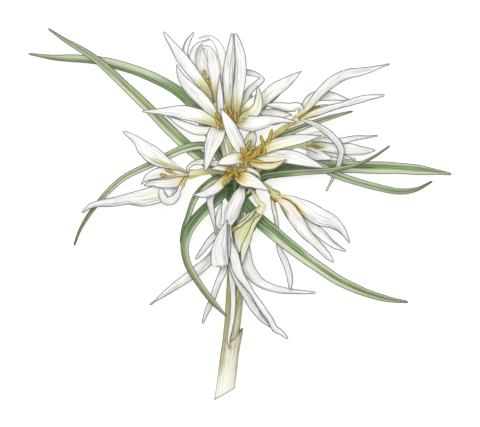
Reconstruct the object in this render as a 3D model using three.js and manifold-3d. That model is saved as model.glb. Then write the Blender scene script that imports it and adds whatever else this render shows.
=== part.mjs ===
// Colchicum crocifolium: a cut flowering stem with grassy leaves and narrow white tepals, lying on its side.
// Millimetres, +Z up. The origin lies on the surface, under the middle of the plant. The stem points to -Y.
import * as THREE from "three";
import { mergeVertices } from "three/addons/utils/BufferGeometryUtils.js";
import Module from "manifold-3d";

const wasm = await Module();
wasm.setup();

// Driving dimensions
const TEPAL_THICKNESS = 0.66;
const LEAF_THICKNESS = 0.9;
const TEPAL_STEP = 5.25; // length of one facet along a tepal
const LEAF_STEP = 7.5;
const TUBE_STEP = 4;
const TUBE_SIDES = 7;
const FACET_TOLERANCE = 0.03; // slivers smaller than this are merged where blades join
const TEPAL_CUP = 0.13; // rise of a tepal's edges over its middle, as a share of its width
const LEAF_CUP = 0.16;
const TIP_WIDTH = 1;
const LEVEL_FROM = [0.04, 0.16]; // shares of its length over which a blade is freed from its root's side
const LEVEL_RATE = 11; // how soon a blade that leaves its root on edge then turns level
const THROAT_RADIUS = 2.1; // the solid collar that carries the tepals
const THROAT_DEPTH = 3.2;
const RIM_RADIUS = 1.75; // where the tepals leave the collar
const RIM_SINK = 1.5; // how deep a tepal is rooted in the collar
const RIM_RISE = 1.1;
const FOOT_RADIUS = 0.8; // a flower tube where it leaves the head
const SEAT_GAP = 0.33; // clearance of every foot over the head
const SEAT_RISE = 1.4; // how far a foot rises straight off the head
const FILAMENT_RADIUS = 0.36;
const ANTHER_RADIUS = 0.62;
const STAMEN_RING = 0.62; // radius of the ring that the filaments stand on
const STAMEN_LIFT = 0.55; // the ring's clearance over the collar
const NECK_SIDES = 12;
const HEAD_RADIUS = 5;
const HEAD_CENTRE = [-1.2, 8, 17.5];
const HEAD_AXIS = [0, 0.75, 0.66]; // the middle of the cap that the flower tubes stand on
const SHEATH_THICKNESS = 0.5;

const COLOURS = {
  neck: { color: 0xb9b67a, roughness: 0.6, metalness: 0 },
  leaf: { color: 0x5d8257, roughness: 0.55, metalness: 0 },
  tepal: { color: 0xf4f2ea, roughness: 0.6, metalness: 0 },
  yellow: { color: 0xe6dca0, roughness: 0.6, metalness: 0 },
  stamen: { color: 0xc8932a, roughness: 0.7, metalness: 0 },
};

const UP = new THREE.Vector3(0, 0, 1);

function vector([x, y, z]) {
  return new THREE.Vector3(x, y, z);
}

// Smooth path through hand-chosen points, as evenly spaced stations with their direction.
function stationsOn(points, step, least = 6) {
  const curve = new THREE.CatmullRomCurve3(points.map((p) => (p.isVector3 ? p : vector(p))));
  const count = Math.max(least, Math.round(curve.getLength() / step));
  const stations = [];
  for (let i = 0; i <= count; i += 1) {
    const t = i / count;
    stations.push({ t, at: curve.getPointAt(t), along: curve.getTangentAt(t) });
  }
  return stations;
}

// Gives each station a side. It starts at the root's side, soon lies level, and goes on round a steep fold.
function addSides(stations, rootSide = null) {
  let side = rootSide;
  let last = 0;
  for (const station of stations) {
    const level = new THREE.Vector3().crossVectors(UP, station.along);
    const share = level.length();
    level.normalize();
    if (side === null) {
      side = level;
    } else {
      if (level.dot(side) < 0) level.negate();
      const free = THREE.MathUtils.smoothstep(station.t, ...LEVEL_FROM);
      const turn = free * share * share * (1 - Math.exp((last - station.t) * LEVEL_RATE));
      side = side.clone().lerp(level, turn);
      side.addScaledVector(station.along, -side.dot(station.along)).normalize();
    }
    last = station.t;
    station.side = side;
    station.normal = new THREE.Vector3().crossVectors(station.along, side);
  }
  return stations;
}

// A value that runs smoothly through a few evenly spaced ones, for t from 0 to 1.
function blended(values, t) {
  const place = Math.min(t, 0.99999) * (values.length - 1);
  const from = Math.floor(place);
  const share = place - from;
  const eased = share * share * (3 - 2 * share);
  return values[from] + (values[from + 1] - values[from]) * (0.5 * share + 0.5 * eased);
}

// The width of a tepal: narrow at its claw, widest past the middle, pointed at the tip.
function tepalWidth(width, t, widest = 0.5, claw = 0.42) {
  if (t < widest) {
    const rise = Math.sin((Math.PI / 2) * (t / widest));
    return width * (claw + (1 - claw) * rise);
  }
  const fall = ((t - widest) / (1 - widest)) ** 2.1;
  return Math.max(TIP_WIDTH, width * (1 - fall));
}

// Joins rings of equally many points into one closed skin, with both ends closed.
function loft(rings) {
  const count = rings[0].length;
  const positions = [];
  for (const ring of rings) {
    for (const p of ring) positions.push(p.x, p.y, p.z);
  }
  const index = [];
  for (let k = 0; k + 1 < rings.length; k += 1) {
    for (let i = 0; i < count; i += 1) {
      const a = k * count + i;
      const b = k * count + ((i + 1) % count);
      index.push(a, b, b + count, a, b + count, a + count);
    }
  }
  const last = (rings.length - 1) * count;
  for (let i = 0; i + 1 < count - 1 - i; i += 1) {
    const j = count - 1 - i;
    index.push(i, j, i + 1);
    index.push(last + i, last + i + 1, last + j);
    if (j - 1 > i + 1) {
      index.push(i + 1, j, j - 1);
      index.push(last + i + 1, last + j - 1, last + j);
    }
  }
  const geometry = new THREE.BufferGeometry();
  geometry.setAttribute("position", new THREE.Float32BufferAttribute(positions, 3));
  geometry.setIndex(index);
  return geometry;
}

function solidOf(geometry) {
  const clean = mergeVertices(geometry, 1e-4);
  const solid = new wasm.Manifold(
    new wasm.Mesh({
      numProp: 3,
      vertProperties: new Float32Array(clean.attributes.position.array),
      triVerts: new Uint32Array(clean.index.array),
    }),
  );
  return solid;
}

function joined(solids) {
  return solids.reduce((whole, next) => whole.add(next));
}

// The biggest connected body, so that a loose scrap of a join is dropped.
function wholeBody(solid) {
  const bodies = solid.decompose();
  return bodies.reduce((most, next) => (next.volume() > most.volume() ? next : most));
}

// A thin blade along a path: a shallow trough in section, of even thickness.
function blade(points, widthAt, { thickness, cup, step, least = 6, rootSide = null }) {
  const stations = addSides(stationsOn(points, step, least), rootSide);
  const rings = stations.map(({ t, at, side, normal }) => {
    const width = widthAt(t);
    const half = thickness / 2;
    const point = (u, level) =>
      at.clone().addScaledVector(side, (u * width) / 2).addScaledVector(normal, level);
    const edge = cup * width;
    return [
      point(1, edge + half),
      point(0, half),
      point(-1, edge + half),
      point(-1, edge - half),
      point(0, -half),
      point(1, edge - half),
    ];
  });
  return solidOf(loft(rings));
}

// A round tube along a path, whose radius runs through a few evenly spaced values.
function tube(points, radii, { sides = TUBE_SIDES, step = TUBE_STEP, least = 3 } = {}) {
  const stations = addSides(stationsOn(points, step, least));
  const rings = stations.map(({ t, at, side, normal }) => {
    const radius = blended(radii, t);
    const ring = [];
    for (let i = 0; i < sides; i += 1) {
      const angle = (2 * Math.PI * i) / sides;
      const spoke = side.clone().multiplyScalar(Math.cos(angle));
      spoke.addScaledVector(normal, Math.sin(angle));
      ring.push(at.clone().addScaledVector(spoke, radius));
    }
    return ring;
  });
  return solidOf(loft(rings));
}

// A point on the stem's round head: tilt from the head's axis and turn about it, in degrees.
function onHead(tilt, turn, clearance) {
  const axis = vector(HEAD_AXIS).normalize();
  const across = new THREE.Vector3(1, 0, 0);
  const back = new THREE.Vector3().crossVectors(across, axis);
  const t = THREE.MathUtils.degToRad(tilt);
  const a = THREE.MathUtils.degToRad(turn);
  const direction = axis.multiplyScalar(Math.cos(t));
  direction.addScaledVector(across, Math.sin(t) * Math.cos(a));
  direction.addScaledVector(back, Math.sin(t) * Math.sin(a));
  return vector(HEAD_CENTRE).addScaledVector(direction, HEAD_RADIUS + clearance);
}

// The stem: a slim neck from the slanting cut up to a round head, with the torn sheath on its lower part.
const NECK_PATH = [
  [-6.3, -72.6, 3.6],
  [-5.1, -64, 3.6],
  [-4.2, -56, 4.9],
  [-3.7, -50, 6.2],
  [-2.7, -40, 8.4],
  [-2.1, -30, 10.4],
  [-2, -15, 13.3],
  [-1.8, -2, 15.8],
  [-1.2, 8, 17.5],
];
const NECK_RADII = [3.35, 3.3, 3.2, 3.35, 3.4, 3.15, 3.1, 3.2, 3.3];
const CUT_SLANT = 0.78; // how far the cut leans: mm along the stem for each mm across it
const SHEATH_END = 0.27; // share of the neck's length that the sheath covers
const SHEATH_TEAR = 5.2; // how far the torn edge climbs on the right, in mm
const TEAR_REACH = 3.5; // how far right of the middle it has climbed that much, in mm

function neckRing({ at, along, side, normal }, radius, shiftAt) {
  const ring = [];
  for (let i = 0; i < NECK_SIDES; i += 1) {
    const angle = (2 * Math.PI * (i + 0.5)) / NECK_SIDES;
    const spoke = side.clone().multiplyScalar(Math.cos(angle));
    spoke.addScaledVector(normal, Math.sin(angle));
    const p = at.clone().addScaledVector(spoke, radius);
    p.addScaledVector(along, shiftAt(p.x - at.x));
    p.z = Math.max(p.z, 0);
    ring.push(p);
  }
  return ring;
}

function neckSolid() {
  const stations = addSides(stationsOn(NECK_PATH, 6.5));
  const none = () => 0;
  const slant = (dx) => CUT_SLANT * dx;
  const rings = stations.map((s, k) => neckRing(s, blended(NECK_RADII, s.t), k === 0 ? slant : none));
  const core = solidOf(loft(rings));
  const covered = stations.filter((s) => s.t <= SHEATH_END);
  const tear = (dx) => (SHEATH_TEAR * Math.max(dx, 0)) / TEAR_REACH;
  const sheathRings = covered.map((s, k) => {
    const shift = k === 0 ? slant : k === covered.length - 1 ? tear : none;
    return neckRing(s, blended(NECK_RADII, s.t) + SHEATH_THICKNESS, shift);
  });
  const sheath = solidOf(loft(sheathRings));
  const ball = solidOf(
    new THREE.SphereGeometry(HEAD_RADIUS, 14, 9).deleteAttribute("normal").deleteAttribute("uv"),
  );
  return joined([core, sheath, ball.translate(HEAD_CENTRE)]);
}

// Leaves: a foot on the head as tilt and turn, the points that the leaf passes, and its widths to the tip.
const LEAVES = {
  leaf_upper_left: {
    foot: [85, 230],
    path: [
      [-9, 15.5, 14.5],
      [-14, 21, 14],
      [-25, 30.5, 14],
      [-40, 45.5, 13],
      [-58, 62, 7.5],
      [-70, 69.5, 2.6],
      [-77.2, 74.4, 0.44],
    ],
    widths: [3.2, 4.6, 4.4, 4.1, 3.4, 2.6, 0.9],
  },
  leaf_far_left: {
    foot: [95, 255],
    path: [
      [-6, 20, 10],
      [-11, 30, 9.5],
      [-19, 43.5, 9],
      [-25, 49.2, 9],
      [-40, 56.7, 8],
      [-57, 61.5, 4.5],
      [-75, 62.7, 2.4],
      [-85.1, 64.2, 1.6],
    ],
    widths: [2.8, 4.2, 4.3, 4.2, 3.8, 3.2, 0.9],
  },
  leaf_low_left: {
    foot: [58, 224],
    path: [
      [-9, 23.5, 18],
      [-14, 27, 18.5],
      [-22, 26, 18.5],
      [-35, 20, 17],
      [-47, 14, 12],
      [-58, 3, 6],
      [-64, -6, 2.8],
      [-66.7, -13, 1.2],
    ],
    widths: [2.6, 3.3, 3.3, 2.7, 2.4, 1.7, 0.9],
  },
  leaf_thin: {
    foot: [58, 178],
    path: [
      [-9, 14, 22],
      [-14, 11, 22.5],
      [-18, 6, 20],
      [-20.7, -1, 16.4],
      [-22.8, -7, 14],
      [-23.9, -12, 12],
    ],
    widths: [2, 2.8, 2.8, 2.4, 2, 0.9],
  },
  leaf_curled_front: {
    foot: [47, 144],
    path: [
      [-7, 8.3, 22.9], [-10, 5.4, 22.3], [-13.5, 2.2, 21.3], [-17, -1.5, 20], [-20.5, -6.5, 18.5],
      [-22.2, -13, 17], [-21, -20, 16.5], [-17, -27, 16.5], [-12, -34, 15.5], [-8, -38.5, 14.5],
      [-5.3, -41.3, 13.6],
    ],
    widths: [3.6, 4.6, 4.2, 3.6, 3, 2.8, 2.4, 0.9],
  },
  leaf_low_right: {
    foot: [92, 60],
    path: [
      [6.6, -1.6, 19.2], [13.6, -7.7, 18], [20, -13, 16], [30, -20.5, 12], [40, -27, 8],
      [50, -31.5, 4.6], [60, -34.5, 2.1], [67.7, -35.6, 1.1],
    ],
    widths: [4.6, 5.6, 5.3, 4.8, 4.3, 3.7, 2.9, 1.1],
  },
  leaf_recurved: {
    foot: [72, 5],
    path: [
      [9, 14.3, 20.5],
      [15, 15.6, 21.5],
      [25, 16.6, 22],
      [35, 17.2, 21],
      [42, 18.3, 21],
      [48, 20, 22],
      [54, 23, 23],
      [60.1, 27.2, 24],
    ],
    widths: [2.2, 2.7, 2.7, 2.4, 1.9, 1.3, 0.9],
  },
  leaf_right: {
    foot: [120, 315],
    path: [
      [6, 13, 11.5],
      [15, 17.8, 11],
      [35, 18.8, 10],
      [50, 18.6, 7.4],
      [65, 18, 3.6],
      [78, 16.8, 0.9],
      [85.1, 15.8, 0.45],
    ],
    widths: [3.4, 4.8, 5, 5, 4.9, 4.3, 1.2],
  },
  leaf_right_thin: {
    foot: [83, 333],
    path: [
      [8, 15, 14.5],
      [15, 19.5, 14.5],
      [25, 21.3, 14.5],
      [32, 18.9, 14.8],
      [38, 15.9, 14.8],
      [45, 13.3, 12.5],
      [55, 10.6, 8],
      [64, 8.9, 5],
      [71, 9.8, 3],
      [77.5, 13.1, 2],
    ],
    widths: [2.4, 3.2, 3.3, 3.2, 2.9, 2.5, 0.9],
  },
  leaf_upper_right: {
    foot: [85, 300],
    path: [
      [8, 24, 13.5],
      [14, 30, 15],
      [22, 33.4, 16],
      [30, 36.5, 16],
      [38, 39, 15],
      [45.3, 41, 14],
    ],
    widths: [2.2, 3, 3.1, 2.8, 2, 0.9],
  },
};

// Flowers: the throat and the way it faces, the tube from the head, the tepals by the points that they pass,
// and the stamens by the two ends of each anther.
const FLOWERS = {
  flower_upper: {
    throat: [-7.2, 34.2, 35.5],
    axis: [-0.25, 0.25, 0.93],
    foot: [16, 136],
    tube: [[-4.4, 14.2, 24.6], [-3.9, 20, 28.5], [-3.5, 25, 31], [-5, 29.5, 33]],
    radii: [FOOT_RADIUS, 1.1, 1.1],
    tepals: [
      { widths: [2, 3.8, 6, 6, 4, 2.2, 1], path: [[-12, 37, 38.5], [-18, 39.2, 39], [-24, 40.4, 38.3],
        [-30, 40.6, 36.6], [-39, 40.7, 34]] },
      { width: 5.2, path: [[-10.5, 39.5, 38.5], [-14.5, 44.5, 39], [-19.5, 49.5, 38], [-23.5, 54.5, 36],
        [-25.3, 59.5, 33.5]] },
      { widths: [2.4, 6.4, 7.2, 6, 4.2, 2.8, 0.8], path: [[-8.9, 32.6, 38.6], [-9.9, 30, 40.3],
        [-11.6, 26, 40], [-12.8, 21.5, 38.5], [-13.9, 16.7, 36.5]] },
      { width: 2.8, path: [[-7.5, 38.5, 37.5], [-7.9, 45, 38.5], [-8.1, 50.5, 38.5], [-8.1, 55.5, 37.5]] },
      { width: 4, path: [[-11.5, 33.3, 33.5], [-17, 33.3, 33], [-23, 35.5, 32.5], [-29.5, 39.2, 31.5]] },
      { width: 3.6, path: [[-5, 33.2, 38], [-3.4, 31, 38.4], [-1.8, 28, 37]] },
    ],
    stamens: [
      [[-8.2, 37.8, 41], [-9.6, 40.5, 42]],
      [[-8.2, 35.5, 41.6], [-9.8, 37.8, 42.4]],
      [[-6.6, 34.2, 40], [-7.9, 36.3, 41.5]],
    ],
  },
  flower_top: {
    throat: [-10.2, 44.5, 26],
    axis: [-0.25, 0.9, 0.35],
    foot: [36, 250],
    tube: [[-4.5, 17, 21.5], [-7, 28, 22], [-9, 37, 23.5]],
    radii: [FOOT_RADIUS, 1, 1.3],
    tepals: [
      { widths: [2.2, 3.4, 4, 4.4, 5, 4.8, 3.8, 2.6, 1.1], path: [[-13.5, 49, 29], [-18, 55.3, 31],
        [-23.2, 61.9, 31], [-27.8, 68.5, 29], [-30.7, 72.7, 27.5]] },
      { widths: [1.8, 2.2, 2.4, 2.6, 2.8, 2.4, 1.1], path: [[-14.5, 50, 24.5], [-19.2, 57, 23.5],
        [-21.9, 63.5, 23], [-21.2, 67.8, 22.5], [-18.4, 72.6, 22]] },
      { widths: [2, 2.4, 2.8, 3.6, 4.8, 5.2, 4, 2.4, 1], path: [[-9.7, 50, 29.5], [-9.9, 55, 31],
        [-10.8, 61, 31.5], [-12.2, 65.4, 32.5], [-15.4, 66.8, 33.5]] },
      { width: 3.8, path: [[-8, 50, 25.5], [-7.1, 57, 25.5], [-7.3, 63.5, 26], [-9.5, 68.5, 26.5],
        [-13, 70.7, 26.5], [-16.7, 69.9, 26]] },
      { width: 3, path: [[-13.5, 49, 26], [-17.5, 55, 26.5], [-19.2, 61.5, 27], [-18, 66, 27.5],
        [-15.5, 68.3, 28.2], [-11.8, 69.5, 29]] },
      { widths: [2, 4, 6, 6.6, 6.2, 5, 2], path: [[-12.3, 51, 22.5], [-14.8, 57, 21], [-16.2, 62.5, 20.5],
        [-15.9, 68, 21]] },
    ],
    stamens: [
      [[-13.9, 55.2, 28.6], [-14.4, 57.5, 28.8]],
      [[-12.7, 51.9, 28.2], [-13.6, 54.1, 28.6]],
      [[-12.1, 52.3, 27.8], [-11.9, 54.9, 28.2]],
    ],
  },
  flower_middle: {
    throat: [-1.8, 36, 32.5],
    axis: [0.02, 0.75, 0.66],
    foot: [16, -66],
    tube: [[0.5, 15, 22], [0.3, 22, 25], [-0.5, 30, 28.5]],
    radii: [FOOT_RADIUS, 1, 1.3],
    tepals: [
      { widths: [2.2, 3.6, 4.4, 4.8, 5, 4.6, 3.2, 1.3], path: [[-1.6, 42, 36], [-0.8, 48, 37.5],
        [0.2, 55, 37],
        [0.1, 62, 35], [-0.9, 68, 32.5], [-2, 72.1, 30]] },
      { widths: [2.2, 3.4, 4.2, 4.6, 4.4, 3.2, 1.3], path: [[-4.2, 42, 33], [-4.8, 50, 33], [-4.4, 58, 32],
        [-3.5, 66, 29.5], [-3.1, 72.2, 28]] },
      { widths: [2.2, 3.6, 4.8, 4.6, 3.6, 2.2, 0.8], path: [[1.8, 38.2, 34.2], [5, 39.8, 36],
        [7.1, 42.6, 36.6], [7.5, 46.5, 36.4], [6.9, 51, 35.6]] },
      { width: 4, path: [[0.5, 39, 33], [3, 42.5, 33.5], [6.3, 47.3, 33]] },
      { widths: [2, 3, 3.4, 3, 2.8, 2.8, 2.6, 2], path: [[0.8, 42, 30], [3.3, 48.5, 30], [6.8, 51.7, 30.5],
        [8.6, 53.6, 29.5], [6.3, 55.3, 27.5], [0, 57.2, 26.5]] },
      { widths: [2.4, 5.6, 7, 5.6, 3.4, 2, 0.9], path: [[2, 35.4, 38.5], [7, 35.8, 40], [12, 37, 39.5],
        [17, 37.2, 37.5], [22.5, 36.3, 34.5]] },
    ],
    stamens: [
      [[-5.2, 39.7, 36.4], [-6, 42.3, 37]],
      [[-3.5, 39.9, 37.2], [-4.7, 42.6, 38]],
      [[-2, 37.2, 37.4], [-2, 40.6, 38.6]],
    ],
  },
  flower_front: {
    throat: [2.5, 21.3, 37],
    axis: [0.3, 0.1, 0.95],
    foot: [24, 48],
    tube: [[2.2, 12.5, 25], [3, 17.5, 31]],
    radii: [FOOT_RADIUS, 1.1, 1.3],
    tepals: [
      { width: 5.7, path: [[-0.5, 27.5, 42], [-3.5, 33.5, 44], [-6, 38.5, 43.5], [-7.7, 42, 42]] },
      { width: 5, path: [[-1.5, 22, 41.5], [-5.5, 21, 42], [-9.3, 19.6, 40.5]] },
      { width: 3.2, path: [[7, 19.3, 40.5], [12.5, 18.9, 41.5], [18.7, 21.4, 42.5]] },
      { width: 5, path: [[8, 25, 41], [13, 27.2, 42.5], [20, 29, 42.5], [27, 30.1, 41], [32.6, 31, 39]] },
      { width: 5.5, path: [[9, 22.3, 39.5], [16, 22.9, 40], [22, 22.1, 39.5], [28, 20.2, 37.5],
        [34, 18, 34.5]] },
      { width: 5, path: [[3.2, 25.5, 39], [4.4, 29.5, 37], [5.6, 34, 34]] },
    ],
    stamens: [
      [[0.9, 24.3, 45], [0.4, 26.3, 46]],
      [[2.5, 26.1, 44], [4.2, 29.3, 45]],
      [[4, 25.4, 45], [6.4, 26.6, 46]],
      [[9.4, 27.2, 45], [8.1, 31.2, 46]],
      [[11.4, 28.6, 45.4], [12.8, 33.6, 46]],
      [[5, 21.2, 44], [9.5, 20.3, 45]],
      [[7.1, 23.4, 44.3], [8, 26.4, 44.9]],
      [[9.7, 25.8, 44.3], [9.5, 23, 44.3]],
      [[2.6, 23.4, 44.4], [4.9, 25, 44.9]],
    ],
  },
  flower_centre: {
    throat: [-2, 17, 33],
    axis: [-0.05, -0.35, 0.93],
    foot: [38, 105],
    tube: [[-1.8, 13, 26]],
    radii: [FOOT_RADIUS, 1.1, 1.3],
    tepals: [
      { widths: [2.2, 5.4, 6.2, 4.6, 2.6, 0.8], path: [[1.6, 13.8, 36.5], [4.8, 12.7, 36.2],
        [8.4, 10.9, 34.6],
        [11.8, 9.1, 32]] },
      { width: 4.2, path: [[-7, 12.5, 36], [-10, 9.8, 35.5], [-14, 7.8, 33.5], [-19, 7.4, 30.5]] },
      { width: 2.2, path: [[1, 17.6, 36], [4.2, 17.3, 37.2], [7, 15.8, 36.3], [8.2, 13, 33.5]] },
      { width: 2.6, path: [[-5, 17.8, 35.5], [-8.5, 18.2, 36], [-11.8, 17.7, 35]] },
      { widths: [1.8, 2.6, 2.9, 2.9, 2.6, 1.8, 1], path: [[-6, 19, 33], [-11, 20.2, 32.5], [-15.5, 20.6, 32],
        [-18.8, 19.9, 31.8], [-20.8, 18, 31.5], [-20.4, 16.2, 31.3]] },
      { width: 3, path: [[-9, 10.5, 31], [-11.8, 6, 29], [-11.3, 1, 27], [-10.3, -4, 26], [-9.8, -8.5, 26]] },
    ],
    stamens: [
      [[-4, 16.7, 38], [-5.6, 17.9, 38.6]],
      [[-1.2, 15, 38.6], [-2.4, 17.4, 39]],
      [[0, 17, 38], [2.8, 17.7, 38.6]],
      [[-3.4, 15.6, 38], [-5, 14.3, 38.4]],
      [[-5.5, 13, 38.2], [-7, 11, 38.4]],
    ],
  },
  flower_left: {
    throat: [-20.6, 15.6, 28],
    axis: [-0.97, -0.17, 0.1],
    foot: [38, 196],
    tube: [[-6, 15.6, 22], [-10.5, 17, 26.2], [-15, 16.7, 27.6]],
    radii: [0.8, 0.9, 1.4, 1.7],
    tepals: [
      { widths: [2.2, 2.5, 3.2, 4.6, 6.4, 7.2, 6.2, 3.8, 2.4, 1], path: [[-24.5, 18.4, 28.9],
        [-27.9, 19.7, 30.6], [-31.6, 21.4, 32.2], [-35, 23.6, 32.3], [-38.3, 26.2, 31.6], [-41.3, 29.3, 30.6],
        [-47, 33, 29]] },
      { widths: [2.4, 5, 7.8, 7, 4.4, 3.6, 2.6, 1], path: [[-26.4, 10.4, 26], [-33, 7.6, 24.5],
        [-38, 6.3, 23.6], [-44, 5.9, 21.5], [-50, 4.8, 18.4], [-56, 4.1, 14.5], [-60, 2.9, 12],
        [-63.4, 0.2, 10]] },
      { widths: [2, 3.3, 4.4, 4, 3.6, 2.6, 0.8], path: [[-24.4, 12.7, 26.7], [-27.6, 12, 28],
        [-31.3, 11.9, 28.9], [-35, 12.1, 28.6], [-38.6, 11, 28.2]] },
      { widths: [2.6, 2.9, 2.5, 1.8, 3, 3.7, 3.7, 3.2, 1.4], path: [[-22, 12.9, 28.7], [-24, 10, 29.7],
        [-25, 7.4, 30.3], [-26.9, 5.4, 30.4], [-29.6, 5.2, 30], [-31.1, 7.4, 29.2], [-31.5, 10.3, 27.8]] },
      { width: 4.6, path: [[-25.5, 17.2, 27], [-32, 16.2, 26], [-37, 14.3, 25.5], [-39.6, 11.5, 25]] },
      { width: 4.4, path: [[-25, 14.8, 24.6], [-30, 14, 22.5], [-36, 12.5, 20.5]] },
    ],
    stamens: [
      [[-27.2, 16.5, 33.2], [-30, 17.7, 33.8]],
      [[-29.2, 14.7, 32], [-32.1, 15.7, 32.6]],
    ],
  },
  flower_upper_right: {
    throat: [23.3, 38, 24],
    axis: [0.8, 0.58, 0.15],
    foot: [31, -24],
    tube: [[4, 18, 22.5], [10, 27.5, 22], [15.5, 32.7, 22.5], [20, 35.8, 23]],
    radii: [FOOT_RADIUS, 1, 1.1, 1.25],
    tepals: [
      { width: 4.3, path: [[26.5, 42, 26.5], [31, 47, 28], [36, 52, 28.5], [42, 55.4, 28], [50, 57, 26.5],
        [60, 59.8, 24]] },
      { widths: [2, 2.6, 3, 2.8, 2.4, 2.8, 3, 2.2, 1], path: [[28.5, 39.6, 26.5], [35, 41.8, 27],
        [43, 44, 26.5], [50, 46, 25.5], [58, 47.3, 24]] },
      { width: 4.3, path: [[25.5, 42.5, 22.5], [29, 46.3, 21], [36, 47, 19.5], [44.5, 45.2, 18]] },
      { widths: [2, 3, 3.8, 3.6, 2.6, 0.9], path: [[24.2, 40.8, 25.6], [23.2, 42.5, 26.3], [19.8, 42.3, 25.8],
        [15, 43.1, 25], [10, 43.4, 24.5]] },
      { width: 4.2, path: [[26.5, 39.5, 21.5], [31.5, 41.3, 19.5], [38, 43.3, 18]] },
      { width: 3, path: [[24, 37.5, 25], [31, 35, 27], [37, 30.5, 25], [40.2, 26, 21],
        [40, 22.4, 17.1], [39.2, 18.8, 13], [38, 15.8, 12], [36.4, 12.5, 10.4], [34.5, 8.8, 8]] },
    ],
    stamens: [
      [[28, 40.7, 24.4], [32, 43.1, 24.8]],
      [[27, 38.6, 23.4], [31, 39.8, 23.4]],
    ],
  },
  flower_right: {
    throat: [26.5, 27.3, 17.5],
    axis: [0.95, -0.05, 0],
    foot: [56, -33],
    tube: [[6.5, 16.5, 18.5], [14, 24.3, 19], [20, 26.3, 18.5]],
    radii: [FOOT_RADIUS, 1, 1.1, 1.25],
    tepals: [
      { width: 2.6, path: [[32, 29.6, 18.7], [40, 29, 18.4], [46, 30.2, 18], [51, 30.6, 17.5],
        [55.3, 31.2, 17]] },
      { widths: [2, 3.2, 4.2, 4.6, 4.8, 3.6, 1], path: [[31.2, 27, 15], [38, 26.2, 15.4], [44, 25.7, 15.4],
        [49, 25.2, 15.1], [54.3, 25.3, 14.6]] },
      { width: 3, path: [[31, 25.2, 15.6], [36, 24.3, 13.8], [41, 22.8, 12.4], [46.5, 21.5, 11.8]] },
      { widths: [3.2, 4.2, 4.4, 3.2, 1.2], path: [[27.6, 25, 15.6], [30, 24, 15.6], [33.2, 22.9, 15.9],
        [37, 21.8, 16]] },
      { width: 3.5, path: [[27.8, 30.3, 20.2], [32.3, 31.4, 21.2], [37, 32.8, 21.3]] },
      { width: 4.2, path: [[30, 27, 14.5], [35, 26.5, 12.5], [41, 26, 11]] },
    ],
    stamens: [
      [[29.7, 26.7, 17.8], [31.9, 26.5, 17.9]],
    ],
  },
  flower_lower_right: {
    throat: [15, 7, 25],
    axis: [0.78, -0.6, 0.1],
    foot: [42, 14],
    tube: [[3.8, 12.2, 22.5], [8, 12.3, 25.5], [12, 9.6, 25.8]],
    radii: [FOOT_RADIUS, 0.9, 1.1, 1.2],
    tepals: [
      { widths: [2.2, 2.4, 2.7, 3.7, 5.9, 7, 7.4, 7, 6, 4.6, 3.2, 1.9, 0.8], path: [[17.4, 7.1, 26.8],
        [20.4, 6.2, 27.7], [26, 2.6, 29], [31.5, -1.2, 29], [37, -3.4, 27], [41, -7, 25], [44, -12, 23]] },
      { widths: [2.6, 3.8, 5.2, 5.8, 5.4, 4.6, 3.9, 3.6, 3, 1], path: [[19.2, 2.7, 27.3], [22.8, -2.9, 28],
        [26.5, -8.2, 27.5], [31, -12.4, 26], [34.4, -16.2, 24], [37.5, -19.6, 22]] },
      { widths: [2, 3.4, 4, 4.2, 4, 2.8, 1], path: [[20, 2.5, 24], [26, -2.8, 23.5], [32, -7.8, 22.5],
        [37, -12.2, 21.5], [42.5, -15.2, 20]] },
      { width: 3.4, path: [[19, 4.5, 22], [24, 0.5, 20.5], [29, -3.6, 19], [32, -6.2, 18.4]] },
      { width: 3.6, path: [[17.5, 3, 22], [21, -2, 20.5], [25.5, -7.5, 19], [30, -11.5, 18]] },
      { widths: [2.6, 2.8, 2.5, 2.2, 1.9, 1.8, 1.8, 1.9, 2.3, 2.9, 2.9, 2.5, 1.1], path: [[12.3, 7.4, 22.8],
        [12.8, 5, 21.6], [13.4, 2.2, 20], [14.4, -2.4, 17], [15, -8, 13], [15.9, -14.5, 11.5],
        [18.4, -20, 10.7], [19.9, -25, 10.3], [20.2, -30.8, 10]] },
    ],
    stamens: [
      [[22.5, 1.5, 25.8], [25.2, -1.6, 25.6]],
    ],
  },
  flower_behind: {
    throat: [6.5, 40, 19],
    axis: [0.6, 0.8, 0.12],
    foot: [48, -68],
    tube: [[3, 18, 17], [5, 30, 17]],
    radii: [FOOT_RADIUS, 1, 1.2],
    tepals: [
      { width: 5.5, path: [[9, 44.5, 21.8], [13, 48.8, 22.8], [18.5, 52.5, 22.5], [24.7, 57, 21]] },
      { width: 4, path: [[11, 40, 17.4], [15, 39.8, 18.2], [21, 39.4, 18.6]] },
      { width: 4, path: [[9.5, 44, 17], [13, 47, 15], [18, 50.5, 13]] },
      { width: 3.8, path: [[8.6, 38.2, 16.2], [12, 37, 15], [17.5, 36.5, 14.5]] },
      { widths: [1.2, 2.2, 2.9, 1.5], path: [[3.2, 43, 15.8], [3.7, 46.8, 15.5], [3.7, 50, 15.3]] },
      { width: 3, path: [[6.3, 39.3, 22.4], [8.5, 38, 23], [10.5, 34.5, 23]] },
    ],
    stamens: [
      [[9.2, 42.8, 20], [11.2, 45.2, 19.8]],
    ],
  },
  flower_yellow: {
    throat: [7.4, 0.6, 26.2],
    axis: [-0.55, -0.8, -0.2],
    foot: [60, 34],
    tube: [[4.4, 10, 22.6], [5.9, 7.3, 25], [7.7, 4.2, 26.5]],
    radii: [FOOT_RADIUS, 0.9, 1.2],
    colour: "yellow",
    tepals: [
      { widths: [2.6, 2.5, 2.1, 2.1, 2.8, 3, 2, 0.9], path: [[6.1, -3.4, 25.7], [3.5, -9.6, 23],
        [1.5, -15, 20.7], [0.8, -20.6, 18.5]] },
      { widths: [2, 1.8, 1.6, 1.6, 1.8, 1],
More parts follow.
